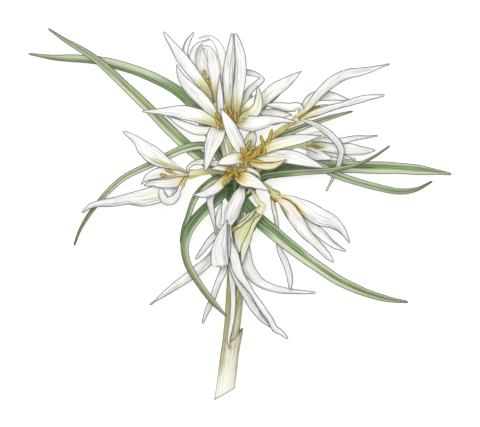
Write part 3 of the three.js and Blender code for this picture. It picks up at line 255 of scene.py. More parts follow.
FLOWERS: tuple[FlowerPlan, ...] = (
    FlowerPlan(
        "upper", throat=(-7.2, 34.2, 35.5), axis=(-0.25, 0.25, 0.93), foot=(16, 136),
        tube=((-4.4, 14.2, 24.6), (-3.9, 20, 28.5), (-3.5, 25, 31), (-5, 29.5, 33)), radii=(0.8, 1.1, 1.1),
        tepals=(
            TepalPlan(((-12, 37, 38.5), (-18, 39.2, 39), (-24, 40.4, 38.3), (-30, 40.6, 36.6),
                (-39, 40.7, 34)),
                (2, 3.8, 6, 6, 4, 2.2, 1), (LEFT_SHADE, GOLD_BASE, OLIVE(-0.2, 0.3, 0.55, 0.2, -0.2, 1.1),
                LIME_BASE)),
            TepalPlan(((-10.5, 39.5, 38.5), (-14.5, 44.5, 39), (-19.5, 49.5, 38), (-23.5, 54.5, 36),
                (-25.3, 59.5, 33.5)),
                (5.2,), (LEFT_SHADE, MIDDLE_SHADE, OLIVE(-0.3, 0.25, 0.6, 0.25, -0.8, 0.8), LIME_BASE)),
            TepalPlan(((-8.9, 32.6, 38.6), (-9.9, 30, 40.3), (-11.6, 26, 40), (-12.8, 21.5, 38.5),
                (-13.9, 16.7, 36.5)),
                (2.4, 6.4, 7.2, 6, 4.2, 2.8, 0.8), (GREY(0.02, 0.75, 0.7, 0.1, -0.1, 0.12),
                OLIVE(0, 0.5, 0.22, 0.16, -0.2, 0.2), GOLD(-0.3, 0.14, 0.7, 0.16, -0.9, 0.9),
                GREY(0.1, 0.5, 0.3, 0.2, -0.5, -0.05), GREY(0.45, 1.2, 0.7, 0.2, -1.6, -0.4))),
            TepalPlan(((-7.5, 38.5, 37.5), (-7.9, 45, 38.5), (-8.1, 50.5, 38.5), (-8.1, 55.5, 37.5)),
                (2.8,), (ALL_SHADE,)),
            TepalPlan(((-11.5, 33.3, 33.5), (-17, 33.3, 33), (-23, 35.5, 32.5), (-29.5, 39.2, 31.5)),
                (4,), (GREY(0.05, 0.9, 0.5, 0.3, 0.35, 1.4),)),
            TepalPlan(((-5, 33.2, 38), (-3.4, 31, 38.4), (-1.8, 28, 37)),
                (3.6,), (BLUSH_BASE,)),
        ),
        stamens=(((-8.2, 37.8, 41), (-9.6, 40.5, 42)), ((-8.2, 35.5, 41.6), (-9.8, 37.8, 42.4)),
            ((-6.6, 34.2, 40), (-7.9, 36.3, 41.5))),
        tube_tints=(OLIVE(-0.2, 1.2, 0.6), DEEP(-0.3, 0.22, 0.9), BROWN(-0.2, 1.2, 0.6, 0.06, 0.8, 1.3),
            BROWN_FLANK),
    ),
    FlowerPlan(
        "top", throat=(-10.2, 44.5, 26), axis=(-0.25, 0.9, 0.35), foot=(36, 250),
        tube=((-4.5, 17, 21.5), (-7, 28, 22), (-9, 37, 23.5)), radii=(0.8, 1, 1.3),
        tepals=(
            TepalPlan(((-13.5, 49, 29), (-18, 55.3, 31), (-23.2, 61.9, 31), (-27.8, 68.5, 29),
                (-30.7, 72.7, 27.5)),
                (2.2, 3.4, 4, 4.4, 5, 4.8, 3.8, 2.6, 1.1), (LEFT_SHADE, OLIVE_FAN, LIME_BASE)),
            TepalPlan(((-14.5, 50, 24.5), (-19.2, 57, 23.5), (-21.9, 63.5, 23), (-21.2, 67.8, 22.5),
                (-18.4, 72.6, 22)),
                (1.8, 2.2, 2.4, 2.6, 2.8, 2.4, 1.1), (LEFT_DARK,)),
            TepalPlan(((-9.7, 50, 29.5), (-9.9, 55, 31), (-10.8, 61, 31.5), (-12.2, 65.4, 32.5),
                (-15.4, 66.8, 33.5)),
                (2, 2.4, 2.8, 3.6, 4.8, 5.2, 4, 2.4, 1), (MIDDLE_SHADE, OLIVE_FAN, LIME_BASE, PALE_EDGE)),
            TepalPlan(((-8, 50, 25.5), (-7.1, 57, 25.5), (-7.3, 63.5, 26), (-9.5, 68.5, 26.5),
                (-13, 70.7, 26.5), (-16.7, 69.9, 26)),
                (3.8,), (GREY(0.1, 0.9, 0.35, 0.26, 0.35, 1.5), OLIVE_FAN, PALE_EDGE)),
            TepalPlan(((-13.5, 49, 26), (-17.5, 55, 26.5), (-19.2, 61.5, 27), (-18, 66, 27.5),
                (-15.5, 68.3, 28.2), (-11.8, 69.5, 29)),
                (3,), (LEFT_DARK, LIME_BASE, PALE_EDGE)),
            TepalPlan(((-12.3, 51, 22.5), (-14.8, 57, 21), (-16.2, 62.5, 20.5), (-15.9, 68, 21)),
                (2, 4, 6, 6.6, 6.2, 5, 2), (ALL_SHADE, LEFT_SHADE, PALE_EDGE)),
        ),
        stamens=(((-13.9, 55.2, 28.6), (-14.4, 57.5, 28.8)), ((-12.7, 51.9, 28.2), (-13.6, 54.1, 28.6)),
            ((-12.1, 52.3, 27.8), (-11.9, 54.9, 28.2))),
        tube_tints=(LIME_TUBE, GREY(-0.2, 1.2, 0.5)),
    ),
    FlowerPlan(
        "middle", throat=(-1.8, 36, 32.5), axis=(0.02, 0.75, 0.66), foot=(16, -66),
        tube=((0.5, 15, 22), (0.3, 22, 25), (-0.5, 30, 28.5)), radii=(0.8, 1, 1.3),
        tepals=(
            TepalPlan(((-1.6, 42, 36), (-0.8, 48, 37.5), (0.2, 55, 37), (0.1, 62, 35), (-0.9, 68, 32.5),
                (-2, 72.1, 30)),
                (2.2, 3.6, 4.4, 4.8, 5, 4.6, 3.2, 1.3), (LIME_BASE, OLIVE(-0.3, 0.3, 0.9, 0.2, -0.9, 0.9),
                GREY(0.2, 0.75, 0.8, 0.14, 0.3, 1.5), GREY(0.25, 0.9, 0.7, 0.08, -0.1, 0.12))),
            TepalPlan(((-4.2, 42, 33), (-4.8, 50, 33), (-4.4, 58, 32), (-3.5, 66, 29.5),
                (-3.1, 72.2, 28)),
                (2.2, 3.4, 4.2, 4.6, 4.4, 3.2, 1.3), (OLIVE_FAN, LIME_BASE,
                GREY(0.3, 1, 1, 0.14, -1.6, -0.1), GREY(0.3, 1.1, 0.45, 0.2, -0.2))),
            TepalPlan(((1.8, 38.2, 34.2), (5, 39.8, 36), (7.1, 42.6, 36.6), (7.5, 46.5, 36.4),
                (6.9, 51, 35.6)),
                (2.2, 3.6, 4.8, 4.6, 3.6, 2.2, 0.8), (LIME(-0.3, 1.2, 0.55, 0.3),
                OLIVE(0, 0.4, 0.6, 0.14, 0, 1.2), OLIVE(0.3, 0.9, 0.5, 0.1, -0.1, 0.15))),
            TepalPlan(((0.5, 39, 33), (3, 42.5, 33.5), (6.3, 47.3, 33)),
                (4,), (OLIVE(-0.3, 0.6, 0.75, 0.2, -1, 0.9), GREY(0, 0.7, 0.4, 0.2, -1.4, -0.2), LIME_BASE)),
            TepalPlan(((0.8, 42, 30), (3.3, 48.5, 30), (6.8, 51.7, 30.5), (8.6, 53.6, 29.5),
                (6.3, 55.3, 27.5), (0, 57.2, 26.5)),
                (2, 3, 3.4, 3, 2.8, 2.8, 2.6, 2), (ALL_SHADE, GREY(0.3, 0.6, 0.7, 0.12))),
            TepalPlan(((2, 35.4, 38.5), (7, 35.8, 40), (12, 37, 39.5), (17, 37.2, 37.5),
                (22.5, 36.3, 34.5)),
                (2.4, 5.6, 7, 5.6, 3.4, 2, 0.9), (OLIVE(-0.2, 0.22, 0.7, 0.14, -1, 1),
                GREY(0.1, 0.8, 0.6, 0.2, -1.5, -0.45), LIME_BASE, GREY(0.3, 0.8, 0.3, 0.2, 0.5, 1.5))),
        ),
        stamens=(((-5.2, 39.7, 36.4), (-6, 42.3, 37)), ((-3.5, 39.9, 37.2), (-4.7, 42.6, 38)),
            ((-2, 37.2, 37.4), (-2, 40.6, 38.6))),
        tube_tints=(LIME_TUBE, OLIVE(-0.2, 0.9, 0.35)),
    ),
    FlowerPlan(
        "front", throat=(2.5, 21.3, 37), axis=(0.3, 0.1, 0.95), foot=(24, 48),
        tube=((2.2, 12.5, 25), (3, 17.5, 31)), radii=(0.8, 1.1, 1.3),
        tepals=(
            TepalPlan(((-0.5, 27.5, 42), (-3.5, 33.5, 44), (-6, 38.5, 43.5), (-7.7, 42, 42)),
                (5.7,), (GOLD(-0.3, 0.16, 1, 0.2, -1, 0.5), GREY(0, 0.62, 0.7, 0.1, -0.1, 0.12),
                OLIVE(0, 0.5, 0.22, 0.16, -0.1, 0.3), GREY(0.08, 0.62, 0.9, 0.2, -1.6, -0.45), BROWN_THROAT)),
            TepalPlan(((-1.5, 22, 41.5), (-5.5, 21, 42), (-9.3, 19.6, 40.5)),
                (5,), (GOLD_FAN, BROWN_THROAT, LIME(0.2, 0.75, 0.5, 0.2, -1.4, -0.3),
                BLUSH(0.25, 1.1, 0.5, 0.25, 0.2, 1.4))),
            TepalPlan(((7, 19.3, 40.5), (12.5, 18.9, 41.5), (18.7, 21.4, 42.5)),
                (3.2,), (GOLD(-0.3, 0.95, 0.45, 0.2), BLUSH(0.7, 1.3, 0.8, 0.2),
                BROWN(0.15, 1.05, 0.8, 0.12, 0.7), BROWN(-0.2, 1, 0.7, 0.08, -1.6, -0.86), BROWN_THROAT)),
            TepalPlan(((8, 25, 41), (13, 27.2, 42.5), (20, 29, 42.5), (27, 30.1, 41), (32.6, 31, 39)),
                (5,), (GOLD_FAN, BROWN_THROAT, LIME(0.05, 0.6, 0.6, 0.25, -1, 0.8),
                OLIVE(0.05, 0.35, 0.35, 0.2, -0.2, 0.9), LEFT_SHADE)),
            TepalPlan(((9, 22.3, 39.5), (16, 22.9, 40), (22, 22.1, 39.5), (28, 20.2, 37.5),
                (34, 18, 34.5)),
                (5.5,), (GOLD_BASE, LIME_BASE, LIME(0.1, 0.5, 0.6, 0.2, -0.9, -0.1),
                GREY(0.12, 0.5, 0.9, 0.2, -0.1, 1.5))),
            TepalPlan(((3.2, 25.5, 39), (4.4, 29.5, 37), (5.6, 34, 34)),
                (5,), (LIME(-0.3, 1.2, 0.45, 0.3), GREY(-0.2, 1.2, 0.8, 0.3))),
        ),
        stamens=(((0.9, 24.3, 45), (0.4, 26.3, 46)), ((2.5, 26.1, 44), (4.2, 29.3, 45)),
            ((4, 25.4, 45), (6.4, 26.6, 46)), ((9.4, 27.2, 45), (8.1, 31.2, 46)),
            ((11.4, 28.6, 45.4), (12.8, 33.6, 46)), ((5, 21.2, 44), (9.5, 20.3, 45)),
            ((7.1, 23.4, 44.3), (8, 26.4, 44.9)), ((9.7, 25.8, 44.3), (9.5, 23, 44.3)),
            ((2.6, 23.4, 44.4), (4.9, 25, 44.9))),
        tube_tints=(GOLD(-0.2, 1.2, 0.8),),
    ),
    FlowerPlan(
        "centre", throat=(-2, 17, 33), axis=(-0.05, -0.35, 0.93), foot=(38, 105),
        tube=((-1.8, 13, 26),), radii=(0.8, 1.1, 1.3),
        tepals=(
            TepalPlan(((1.6, 13.8, 36.5), (4.8, 12.7, 36.2), (8.4, 10.9, 34.6), (11.8, 9.1, 32)),
                (2.2, 5.4, 6.2, 4.6, 2.6, 0.8), (GOLD_FAN, BROWN_THROAT, OLIVE(0, 0.4, 0.4, 0.2, 0.2, 1.2),
                BLUSH(0.4, 1.1, 0.35, 0.3, -1.4, 0.3))),
            TepalPlan(((-7, 12.5, 36), (-10, 9.8, 35.5), (-14, 7.8, 33.5), (-19, 7.4, 30.5)),
                (4.2,), (GOLD_FAN, BROWN_THROAT, GREY(0.3, 1, 0.5, 0.2, 0.3, 1.5),
                BLUSH(0.2, 0.8, 0.3, 0.3, -1.4, 0))),
            TepalPlan(((1, 17.6, 36), (4.2, 17.3, 37.2), (7, 15.8, 36.3), (8.2, 13, 33.5)),
                (2.2,), (LIME_ALL, GOLD_BASE)),
            TepalPlan(((-5, 17.8, 35.5), (-8.5, 18.2, 36), (-11.8, 17.7, 35)),
                (2.6,), (GOLD(-0.3, 0.5, 0.7), BLUSH_ALL)),
            TepalPlan(((-6, 19, 33), (-11, 20.2, 32.5), (-15.5, 20.6, 32), (-18.8, 19.9, 31.8),
                (-20.8, 18, 31.5), (-20.4, 16.2, 31.3)),
                (1.8, 2.6, 2.9, 2.9, 2.6, 1.8, 1), (BLUSH(-0.2, 0.55, 0.8, 0.1),
                LIME(0.45, 0.75, 0.7, 0.12, -1.6, 0.2), GREY(0.7, 1.2, 0.6, 0.12), GOLD_BASE)),
            TepalPlan(((-9, 10.5, 31), (-11.8, 6, 29), (-11.3, 1, 27), (-10.3, -4, 26),
                (-9.8, -8.5, 26)),
                (3,), (ALL_SHADE, GREY(0.1, 0.6, 0.7, 0.2, -0.6, 0.4))),
        ),
        stamens=(((-4, 16.7, 38), (-5.6, 17.9, 38.6)), ((-1.2, 15, 38.6), (-2.4, 17.4, 39)),
            ((0, 17, 38), (2.8, 17.7, 38.6)), ((-3.4, 15.6, 38), (-5, 14.3, 38.4)),
            ((-5.5, 13, 38.2), (-7, 11, 38.4))),
        tube_tints=(DEEP(-0.2, 0.75, 0.95), GOLD(0.7, 1.2, 0.8)),
    ),
    FlowerPlan(
        "left", throat=(-20.6, 15.6, 28), axis=(-0.97, -0.17, 0.1), foot=(38, 196),
        tube=((-6, 15.6, 22), (-10.5, 17, 26.2), (-15, 16.7, 27.6)), radii=(0.8, 0.9, 1.4, 1.7),
            pale_threads=1.0,
        tepals=(
            TepalPlan(((-24.5, 18.4, 28.9), (-27.9, 19.7, 30.6), (-31.6, 21.4, 32.2), (-35, 23.6, 32.3),
                (-38.3, 26.2, 31.6), (-41.3, 29.3, 30.6), (-47, 33, 29)),
                (2.2, 2.5, 3.2, 4.6, 6.4, 7.2, 6.2, 3.8, 2.4, 1), (GOLD(-0.3, 0.1, 0.6, 0.1),
                OLIVE(0.08, 0.5, 0.7, 0.14, 0, 0.7), BROWN(0.05, 0.16, 0.6, 0.06, -0.9, -0.3), LEFT_SHADE)),
            TepalPlan(((-26.4, 10.4, 26), (-33, 7.6, 24.5), (-38, 6.3, 23.6), (-44, 5.9, 21.5),
                (-50, 4.8, 18.4), (-56, 4.1, 14.5), (-60, 2.9, 12), (-63.4, 0.2, 10)),
                (2.4, 5, 7.8, 7, 4.4, 3.6, 2.6, 1), (GREY(-0.2, 0.2, 1.6, 0.06),
                GREY(0.26, 1.2, 0.9, 0.2, 0.2), LIME(0.3, 0.46, 0.6, 0.12, -0.6, 0))),
            TepalPlan(((-24.4, 12.7, 26.7), (-27.6, 12, 28), (-31.3, 11.9, 28.9), (-35, 12.1, 28.6),
                (-38.6, 11, 28.2)),
                (2, 3.3, 4.4, 4, 3.6, 2.6, 0.8), (GOLD(-0.3, 0.24, 0.6, 0.2, -1.6, 0.3),
                BLUSH(-0.3, 0.55, 0.9, 0.25), TIP_SHADE)),
            TepalPlan(((-22, 12.9, 28.7), (-24, 10, 29.7), (-25, 7.4, 30.3), (-26.9, 5.4, 30.4),
                (-29.6, 5.2, 30), (-31.1, 7.4, 29.2), (-31.5, 10.3, 27.8)),
                (2.6, 2.9, 2.5, 1.8, 3, 3.7, 3.7, 3.2, 1.4), (GOLD(-0.3, 0.3, 0.75, 0.12),
                GREY(0.3, 0.6, 0.4, 0.2), GREY(0.66, 0.9, 0.5, 0.14))),
            TepalPlan(((-25.5, 17.2, 27), (-32, 16.2, 26), (-37, 14.3, 25.5), (-39.6, 11.5, 25)),
                (4.6,), (GREY(0.5, 1.2, 0.6, 0.2, -0.2),)),
            TepalPlan(((-25, 14.8, 24.6), (-30, 14, 22.5), (-36, 12.5, 20.5)),
                (4.4,), (BLUSH(-0.3, 0.3, 0.3, 0.2),)),
        ),
        stamens=(((-27.2, 16.5, 33.2), (-30, 17.7, 33.8)), ((-29.2, 14.7, 32), (-32.1, 15.7, 32.6))),
        tube_tints=(DEEP(-0.2, 0.3, 0.9), LIME_TUBE, OLIVE(0.1, 1.2, 0.55), GOLD(0.2, 1.2, 0.55, 0.16, 0.1),
            BROWN_FLANK),
    ),
    FlowerPlan(
        "upper_right", throat=(23.3, 38, 24), axis=(0.8, 0.58, 0.15), foot=(31, -24),
        tube=((4, 18, 22.5), (10, 27.5, 22), (15.5, 32.7, 22.5), (20, 35.8, 23)), radii=(0.8, 1, 1.1, 1.25),
            anther=(0.56, 0.21, 0.025),
        tepals=(
            TepalPlan(((26.5, 42, 26.5), (31, 47, 28), (36, 52, 28.5), (42, 55.4, 28), (50, 57, 26.5),
                (60, 59.8, 24)),
                (4.3,), (GOLD_BASE, LIME_BASE, GREY(0.1, 0.6, 0.9, 0.14, -1.6, -0.35),
                GREY(0.3, 1.1, 0.8, 0.08, -0.15, 0.1), GREY(0.5, 1.1, 0.4, 0.2, -0.1, 1.2))),
            TepalPlan(((28.5, 39.6, 26.5), (35, 41.8, 27), (43, 44, 26.5), (50, 46, 25.5),
                (58, 47.3, 24)),
                (2, 2.6, 3, 2.8, 2.4, 2.8, 3, 2.2, 1), (GOLD(-0.3, 0.2, 0.55, 0.2), LIME_BASE,
                GREY(0.3, 1.1, 0.6, 0.14, -1.5, -0.3), GREY(0.15, 0.8, 0.6, 0.08, -0.2, 0.1))),
            TepalPlan(((25.5, 42.5, 22.5), (29, 46.3, 21), (36, 47, 19.5), (44.5, 45.2, 18)),
                (4.3,), (GREY(0, 1, 0.25, 0.25), GREY(0.1, 0.8, 0.6, 0.16, 0.3),
                GREY(0.7, 1.2, 0.5, 0.16, -0.5))),
            TepalPlan(((24.2, 40.8, 25.6), (23.2, 42.5, 26.3), (19.8, 42.3, 25.8), (15, 43.1, 25),
                (10, 43.4, 24.5)),
                (2, 3, 3.8, 3.6, 2.6, 0.9), (GREY(0.14, 0.3, 1.3, 0.05), GREY(0.3, 1, 0.8, 0.12, 0.3),
                GREY(0.5, 1, 0.4, 0.1, -0.2, 0.1))),
            TepalPlan(((26.5, 39.5, 21.5), (31.5, 41.3, 19.5), (38, 43.3, 18)),
                (4.2,), (ALL_SHADE,)),
            TepalPlan(((24, 37.5, 25), (31, 35, 27), (37, 30.5, 25), (40.2, 26, 21), (40, 22.4, 17.1),
                (39.2, 18.8, 13), (38, 15.8, 12), (36.4, 12.5, 10.4), (34.5, 8.8, 8)),
                (3,), (GREY(0.1, 0.9, 0.9, 0.1, -0.25, 0.05), GREY(0.3, 1.1, 0.8, 0.14, -1.6, -0.5),
                OLIVE(-0.2, 0.3, 0.3, 0.2, -0.5, 1.2))),
        ),
        stamens=(((28, 40.7, 24.4), (32, 43.1, 24.8)), ((27, 38.6, 23.4), (31, 39.8, 23.4))),
        tube_tints=(LIME_TUBE, GOLD(0.1, 1.2, 0.6), BROWN(-0.2, 1.2, 0.7, 0.06, -1.3, -0.8),
            GREY(-0.2, 1.2, 0.7, 0.06, 0.8, 1.3)),
    ),
    FlowerPlan(
        "right", throat=(26.5, 27.3, 17.5), axis=(0.95, -0.05, 0), foot=(56, -33),
        tube=((6.5, 16.5, 18.5), (14, 24.3, 19), (20, 26.3, 18.5)), radii=(0.8, 1, 1.1, 1.25),
            anther=(0.44, 0.35, 0.07),
        tepals=(
            TepalPlan(((32, 29.6, 18.7), (40, 29, 18.4), (46, 30.2, 18), (51, 30.6, 17.5),
                (55.3, 31.2, 17)),
                (2.6,), (LIME_BASE, GREY(0.5, 1.2, 0.35, 0.3))),
            TepalPlan(((31.2, 27, 15), (38, 26.2, 15.4), (44, 25.7, 15.4), (49, 25.2, 15.1),
                (54.3, 25.3, 14.6)),
                (2, 3.2, 4.2, 4.6, 4.8, 3.6, 1), (OLIVE(-0.2, 0.32, 0.9, 0.14, -0.45, 0.5),
                GOLD(-0.2, 0.3, 0.5, 0.14, -0.5, 0.3), LIME_BASE, GREY(0.3, 1, 0.5, 0.2, -1.4, -0.3),
                GREY(0.5, 1, 0.5, 0.08, -0.1, 0.1))),
            TepalPlan(((31, 25.2, 15.6), (36, 24.3, 13.8), (41, 22.8, 12.4), (46.5, 21.5, 11.8)),
                (3,), (GREY(0.3, 1, 0.5, 0.2, -1.6, -0.1),)),
            TepalPlan(((27.6, 25, 15.6), (30, 24, 15.6), (33.2, 22.9, 15.9), (37, 21.8, 16)),
                (3.2, 4.2, 4.4, 3.2, 1.2), (PALE(-0.3, 0.7, 0.9, 0.2), BLUSH(0, 0.5, 0.2, 0.2))),
            TepalPlan(((27.8, 30.3, 20.2), (32.3, 31.4, 21.2), (37, 32.8, 21.3)),
                (3.5,), (PALE(-0.3, 1.3, 0.7, 0.2), OLIVE(-0.3, 0.3, 0.6, 0.1),
                GREY(0.4, 0.9, 0.3, 0.2, -1.6, -0.3))),
            TepalPlan(((30, 27, 14.5), (35, 26.5, 12.5), (41, 26, 11)),
                (4.2,), (GREY(-0.2, 1.2, 0.35, 0.3),)),
        ),
        stamens=(((29.7, 26.7, 17.8), (31.9, 26.5, 17.9)),),
        tube_tints=(LIME_TUBE, OLIVE(0.2, 1.2, 0.4)),
    ),
    FlowerPlan(
        "lower_right", throat=(15, 7, 25), axis=(0.78, -0.6, 0.1), foot=(42, 14),
        tube=((3.8, 12.2, 22.5), (8, 12.3, 25.5), (12, 9.6, 25.8)), radii=(0.8, 0.9, 1.1, 1.2),
        tepals=(
            TepalPlan(((17.4, 7.1, 26.8), (20.4, 6.2, 27.7), (26, 2.6, 29), (31.5, -1.2, 29),
                (37, -3.4, 27), (41, -7, 25), (44, -12, 23)),
                (2.2, 2.4, 2.7, 3.7, 5.9, 7, 7.4, 7, 6, 4.6, 3.2, 1.9, 0.8), (GOLD_BASE,
                BLUSH(-0.2, 0.3, 0.4, 0.2, -0.8, 0.7), GOLD(0.04, 0.42, 1.1, 0.12, -1.6, -0.55),
                BROWN(0.12, 0.4, 0.8, 0.08, -1.6, -0.85), GREY(0.38, 0.95, 1, 0.2, -1.6, -0.35),
                GREY(0.5, 1, 0.4, 0.14, -0.3, 0.1))),
            TepalPlan(((19.2, 2.7, 27.3), (22.8, -2.9, 28), (26.5, -8.2, 27.5), (31, -12.4, 26),
                (34.4, -16.2, 24), (37.5, -19.6, 22)),
                (2.6, 3.8, 5.2, 5.8, 5.4, 4.6, 3.9, 3.6, 3, 1), (GOLD(-0.3, 0.12, 0.6, 0.1),
                OLIVE(-0.3, 0.3, 0.6, 0.1, -1.6, -0.5), BLUSH(-0.2, 0.4, 0.9),
                GREY(0.3, 1.2, 0.5, 0.2, -1.6, -0.3), LEFT_SHADE)),
            TepalPlan(((20, 2.5, 24), (26, -2.8, 23.5), (32, -7.8, 22.5), (37, -12.2, 21.5),
                (42.5, -15.2, 20)),
                (2, 3.4, 4, 4.2, 4, 2.8, 1), (GREY(-0.2, 0.55, 0.95, 0.25), LEFT_DARK)),
            TepalPlan(((19, 4.5, 22), (24, 0.5, 20.5), (29, -3.6, 19), (32, -6.2, 18.4)),
                (3.4,), (ALL_SHADE, RIGHT_DARK)),
            TepalPlan(((17.5, 3, 22), (21, -2, 20.5), (25.5, -7.5, 19), (30, -11.5, 18)),
                (3.6,), (ALL_SHADE, LEFT_DARK)),
            TepalPlan(((12.3, 7.4, 22.8), (12.8, 5, 21.6), (13.4, 2.2, 20), (14.4, -2.4, 17),
                (15, -8, 13), (15.9, -14.5, 11.5), (18.4, -20, 10.7), (19.9, -25, 10.3), (20.2, -30.8, 10)),
                (2.6, 2.8, 2.5, 2.2, 1.9, 1.8, 1.8, 1.9, 2.3, 2.9, 2.9, 2.5, 1.1),
                (GOLD(-0.3, 0.1, 0.7, 0.06), OLIVE(-0.3, 0.18, 0.6, 0.1), LIME(-0.3, 0.27, 0.9, 0.08),
                BROWN(-0.3, 0.16, 0.5, 0.06, -1.6, -0.3), GREY(0.3, 1.2, 0.5, 0.2), LEFT_SHADE)),
        ),
        stamens=(((22.5, 1.5, 25.8), (25.2, -1.6, 25.6)),),
        tube_tints=(LIME(-0.2, 1.2), OLIVE(-0.2, 1.2, 0.55), BROWN(-0.2, 1.2, 0.75, 0.06, -1.3, -0.75),
            BROWN(-0.2, 1.2, 0.75, 0.06, 0.75, 1.3)),
    ),
    FlowerPlan(
        "behind", throat=(6.5, 40, 19), axis=(0.6, 0.8, 0.12), foot=(48, -68),
        tube=((3, 18, 17), (5, 30, 17)), radii=(0.8, 1, 1.2),
        tepals=(
            TepalPlan(((9, 44.5, 21.8), (13, 48.8, 22.8), (18.5, 52.5, 22.5), (24.7, 57, 21)),
                (5.5,), (LIME_BASE, GREY(0.15, 0.8, 0.6, 0.14, -1.4, -0.5),
                GREY(0.3, 0.8, 0.8, 0.08, -0.1, 0.12), GREY(0.75, 1.1, 0.4, 0.16, -0.2, 0.9))),
            TepalPlan(((11, 40, 17.4), (15, 39.8, 18.2), (21, 39.4, 18.6)),
                (4,), (GREY(0.2, 0.9, 0.3, 0.2, 0.4, 1.5),)),
            TepalPlan(((9.5, 44, 17), (13, 47, 15), (18, 50.5, 13)),
                (4,), (ALL_SHADE, GREY(0.1, 0.7, 0.3, 0.2, -1.4, -0.4))),
            TepalPlan(((8.6, 38.2, 16.2), (12, 37, 15), (17.5, 36.5, 14.5)),
                (3.8,), (GREY(0.2, 0.9, 0.3, 0.2, -1.5, -0.5),)),
            TepalPlan(((3.2, 43, 15.8), (3.7, 46.8, 15.5), (3.7, 50, 15.3)),
                (1.2, 2.2, 2.9, 1.5), (LIME_ALL,)),
            TepalPlan(((6.3, 39.3, 22.4), (8.5, 38, 23), (10.5, 34.5, 23)),
                (3,), (ALL_SHADE,)),
        ),
        stamens=(((9.2, 42.8, 20), (11.2, 45.2, 19.8)),),
        tube_tints=(LIME(-0.2, 1.2, 0.8),),
    ),
    FlowerPlan(
        "yellow", throat=(7.4, 0.6, 26.2), axis=(-0.55, -0.8, -0.2), foot=(60, 34),
        tube=((4.4, 10, 22.6), (5.9, 7.3, 25), (7.7, 4.2, 26.5)), radii=(0.8, 0.9, 1.2),
        tepals=(
            TepalPlan(((6.1, -3.4, 25.7), (3.5, -9.6, 23), (1.5, -15, 20.7), (0.8, -20.6, 18.5)),
                (2.6, 2.5, 2.1, 2.1, 2.8, 3, 2, 0.9), (LIME_ALL, GOLD(-0.2, 0.6, 0.3, 0.16, -0.6, 1.2),
                OLIVE(0, 1.2, 0.5, 0.1, -1.6, -0.8))),
            TepalPlan(((4.3, -0.9, 25.6), (0.6, -4.1, 23.4), (-4.4, -7.8, 20.2)),
                (2, 1.8, 1.6, 1.6, 1.8, 1), (LIME(-0.3, 1.2, 0.9, 0.3), GOLD(-0.3, 0.6, 0.15, 0.3),
                GREY(0.1, 0.6, 0.25, 0.2), OLIVE(0.7, 1.3, 1.3, 0.08))),
            TepalPlan(((3.2, -8, 19.5), (2.3, -16.5, 16.2), (4.2, -23.3, 13), (8.6, -27.8, 9.5),
                (15, -30.3, 7.5), (22, -31.3, 6.5), (30.5, -31.8, 5)),
                (1.8, 1.8, 3, 5, 5, 4, 3, 2, 1), (LIME(-0.3, 0.3, 0.9, 0.1),
                GREY(0.1, 0.9, 0.7, 0.2, -1.6, -0.35), GREY(0.1, 0.4, 0.6, 0.2, -0.2))),
            TepalPlan(((3.7, -3.5, 22.6), (0.7, -8.2, 20.5), (-0.5, -15.8, 18.4)),
                (2.2, 5.4, 7.6, 7, 4.6, 1.4), (LIME(-0.3, 0.8, 1.2, 0.25, -0.75),
                GOLD(-0.3, 0.45, 0.3, 0.2, -0.3, 0.9), GREY(0.3, 1.2, 0.6, 0.2, -1.6, -0.3),
                BLUSH(0.5, 1.2, 0.3, 0.3))),
        ),
        tube_tints=(LIME_TUBE, OLIVE(-0.2, 1.2, 0.25), OLIVE(-0.2, 1.2, 0.5, 0.12, -1.6, -0.3), BROWN_FLANK,
            GREY(-0.2, 1.2, 0.7, 0.06, 0.8, 1.3)),
    ),
    FlowerPlan(
        "hanging", throat=(-4.9, -4, 25.3), axis=(-0.35, -0.9, -0.1), foot=(55, 75),
        tube=((0.5, 8.6, 24.9), (-0.8, 5.6, 26.3), (-2.6, 2, 26.8)), radii=(0.9, 2.7, 3.1, 2.9),
        tepals=(
            TepalPlan(((-6.5, -12, 23.5), (-8, -19, 25), (-7.9, -21.2, 27.5), (-8.2, -15, 29.5),
                (-7.2, -9.5, 30.2), (-5.1, -2.2, 30.8)),
                (7.7,), (GREY(-0.2, 1.2, 0.3, 0.3), RIGHT_DARK, GREY(0.3, 0.9, 0.4, 0.2, 0.2, 0.9),
                GREY(0.46, 0.52, 3, 0.01)), widest=0.47),
            TepalPlan(((-8.5, -7, 22), (-12.1, -10.9, 20), (-14.9, -14.7, 18), (-17.8, -18.5, 16)),
                (1.8, 2.4, 2.9, 2.7, 2.2, 1.2), (GREY(-0.2, 1.2, 0.35, 0.3),
                GREY(-0.2, 0.5, 0.8, 0.2, -0.2))),
            TepalPlan(((-7, -10, 20), (-11, -17, 17.5), (-15, -21, 14.5), (-20, -24.8, 12),
                (-26, -29, 9), (-36.3, -36.8, 5)),
                (4.2,), (GREY(0.1, 0.42, 1.2), GREY(0.3, 1.1, 0.7, 0.2, 0))),
            TepalPlan(((-5.8, -15, 18), (-6.4, -22, 17), (-8.9, -28, 14), (-11, -34, 11),
                (-13.3, -39.3, 8), (-15.1, -44.3, 6)),
                (2.2, 3, 3.6, 3.4, 2.8, 2.6, 2.2, 1), (GREY(-0.2, 0.45, 1.1, 0.2),
                GREY(0.2, 1, 0.7, 0.08, -0.15, 0.1), GREY(0.3, 1.1, 0.4, 0.2, 0.1))),
            TepalPlan(((-4.3, -16, 19.5), (-3.5, -24, 18), (-2.8, -32, 16.3), (-2.9, -39, 15.2),
                (-3.8, -46, 13.8), (-4.6, -50.5, 12.8), (-4.3, -54.2, 12.2)),
                (1.8, 2.4, 2.5, 2.5, 2.4, 2, 0.9), (BLUSH(-0.3, 1.3, 0.4, 0.2),
                GREY(0.1, 0.55, 0.5, 0.2, -0.5, 0.9))),
            TepalPlan(((-3.3, -10, 24.6), (-2, -17.5, 23.3), (-0.6, -23.6, 21), (3.2, -29.3, 18.2),
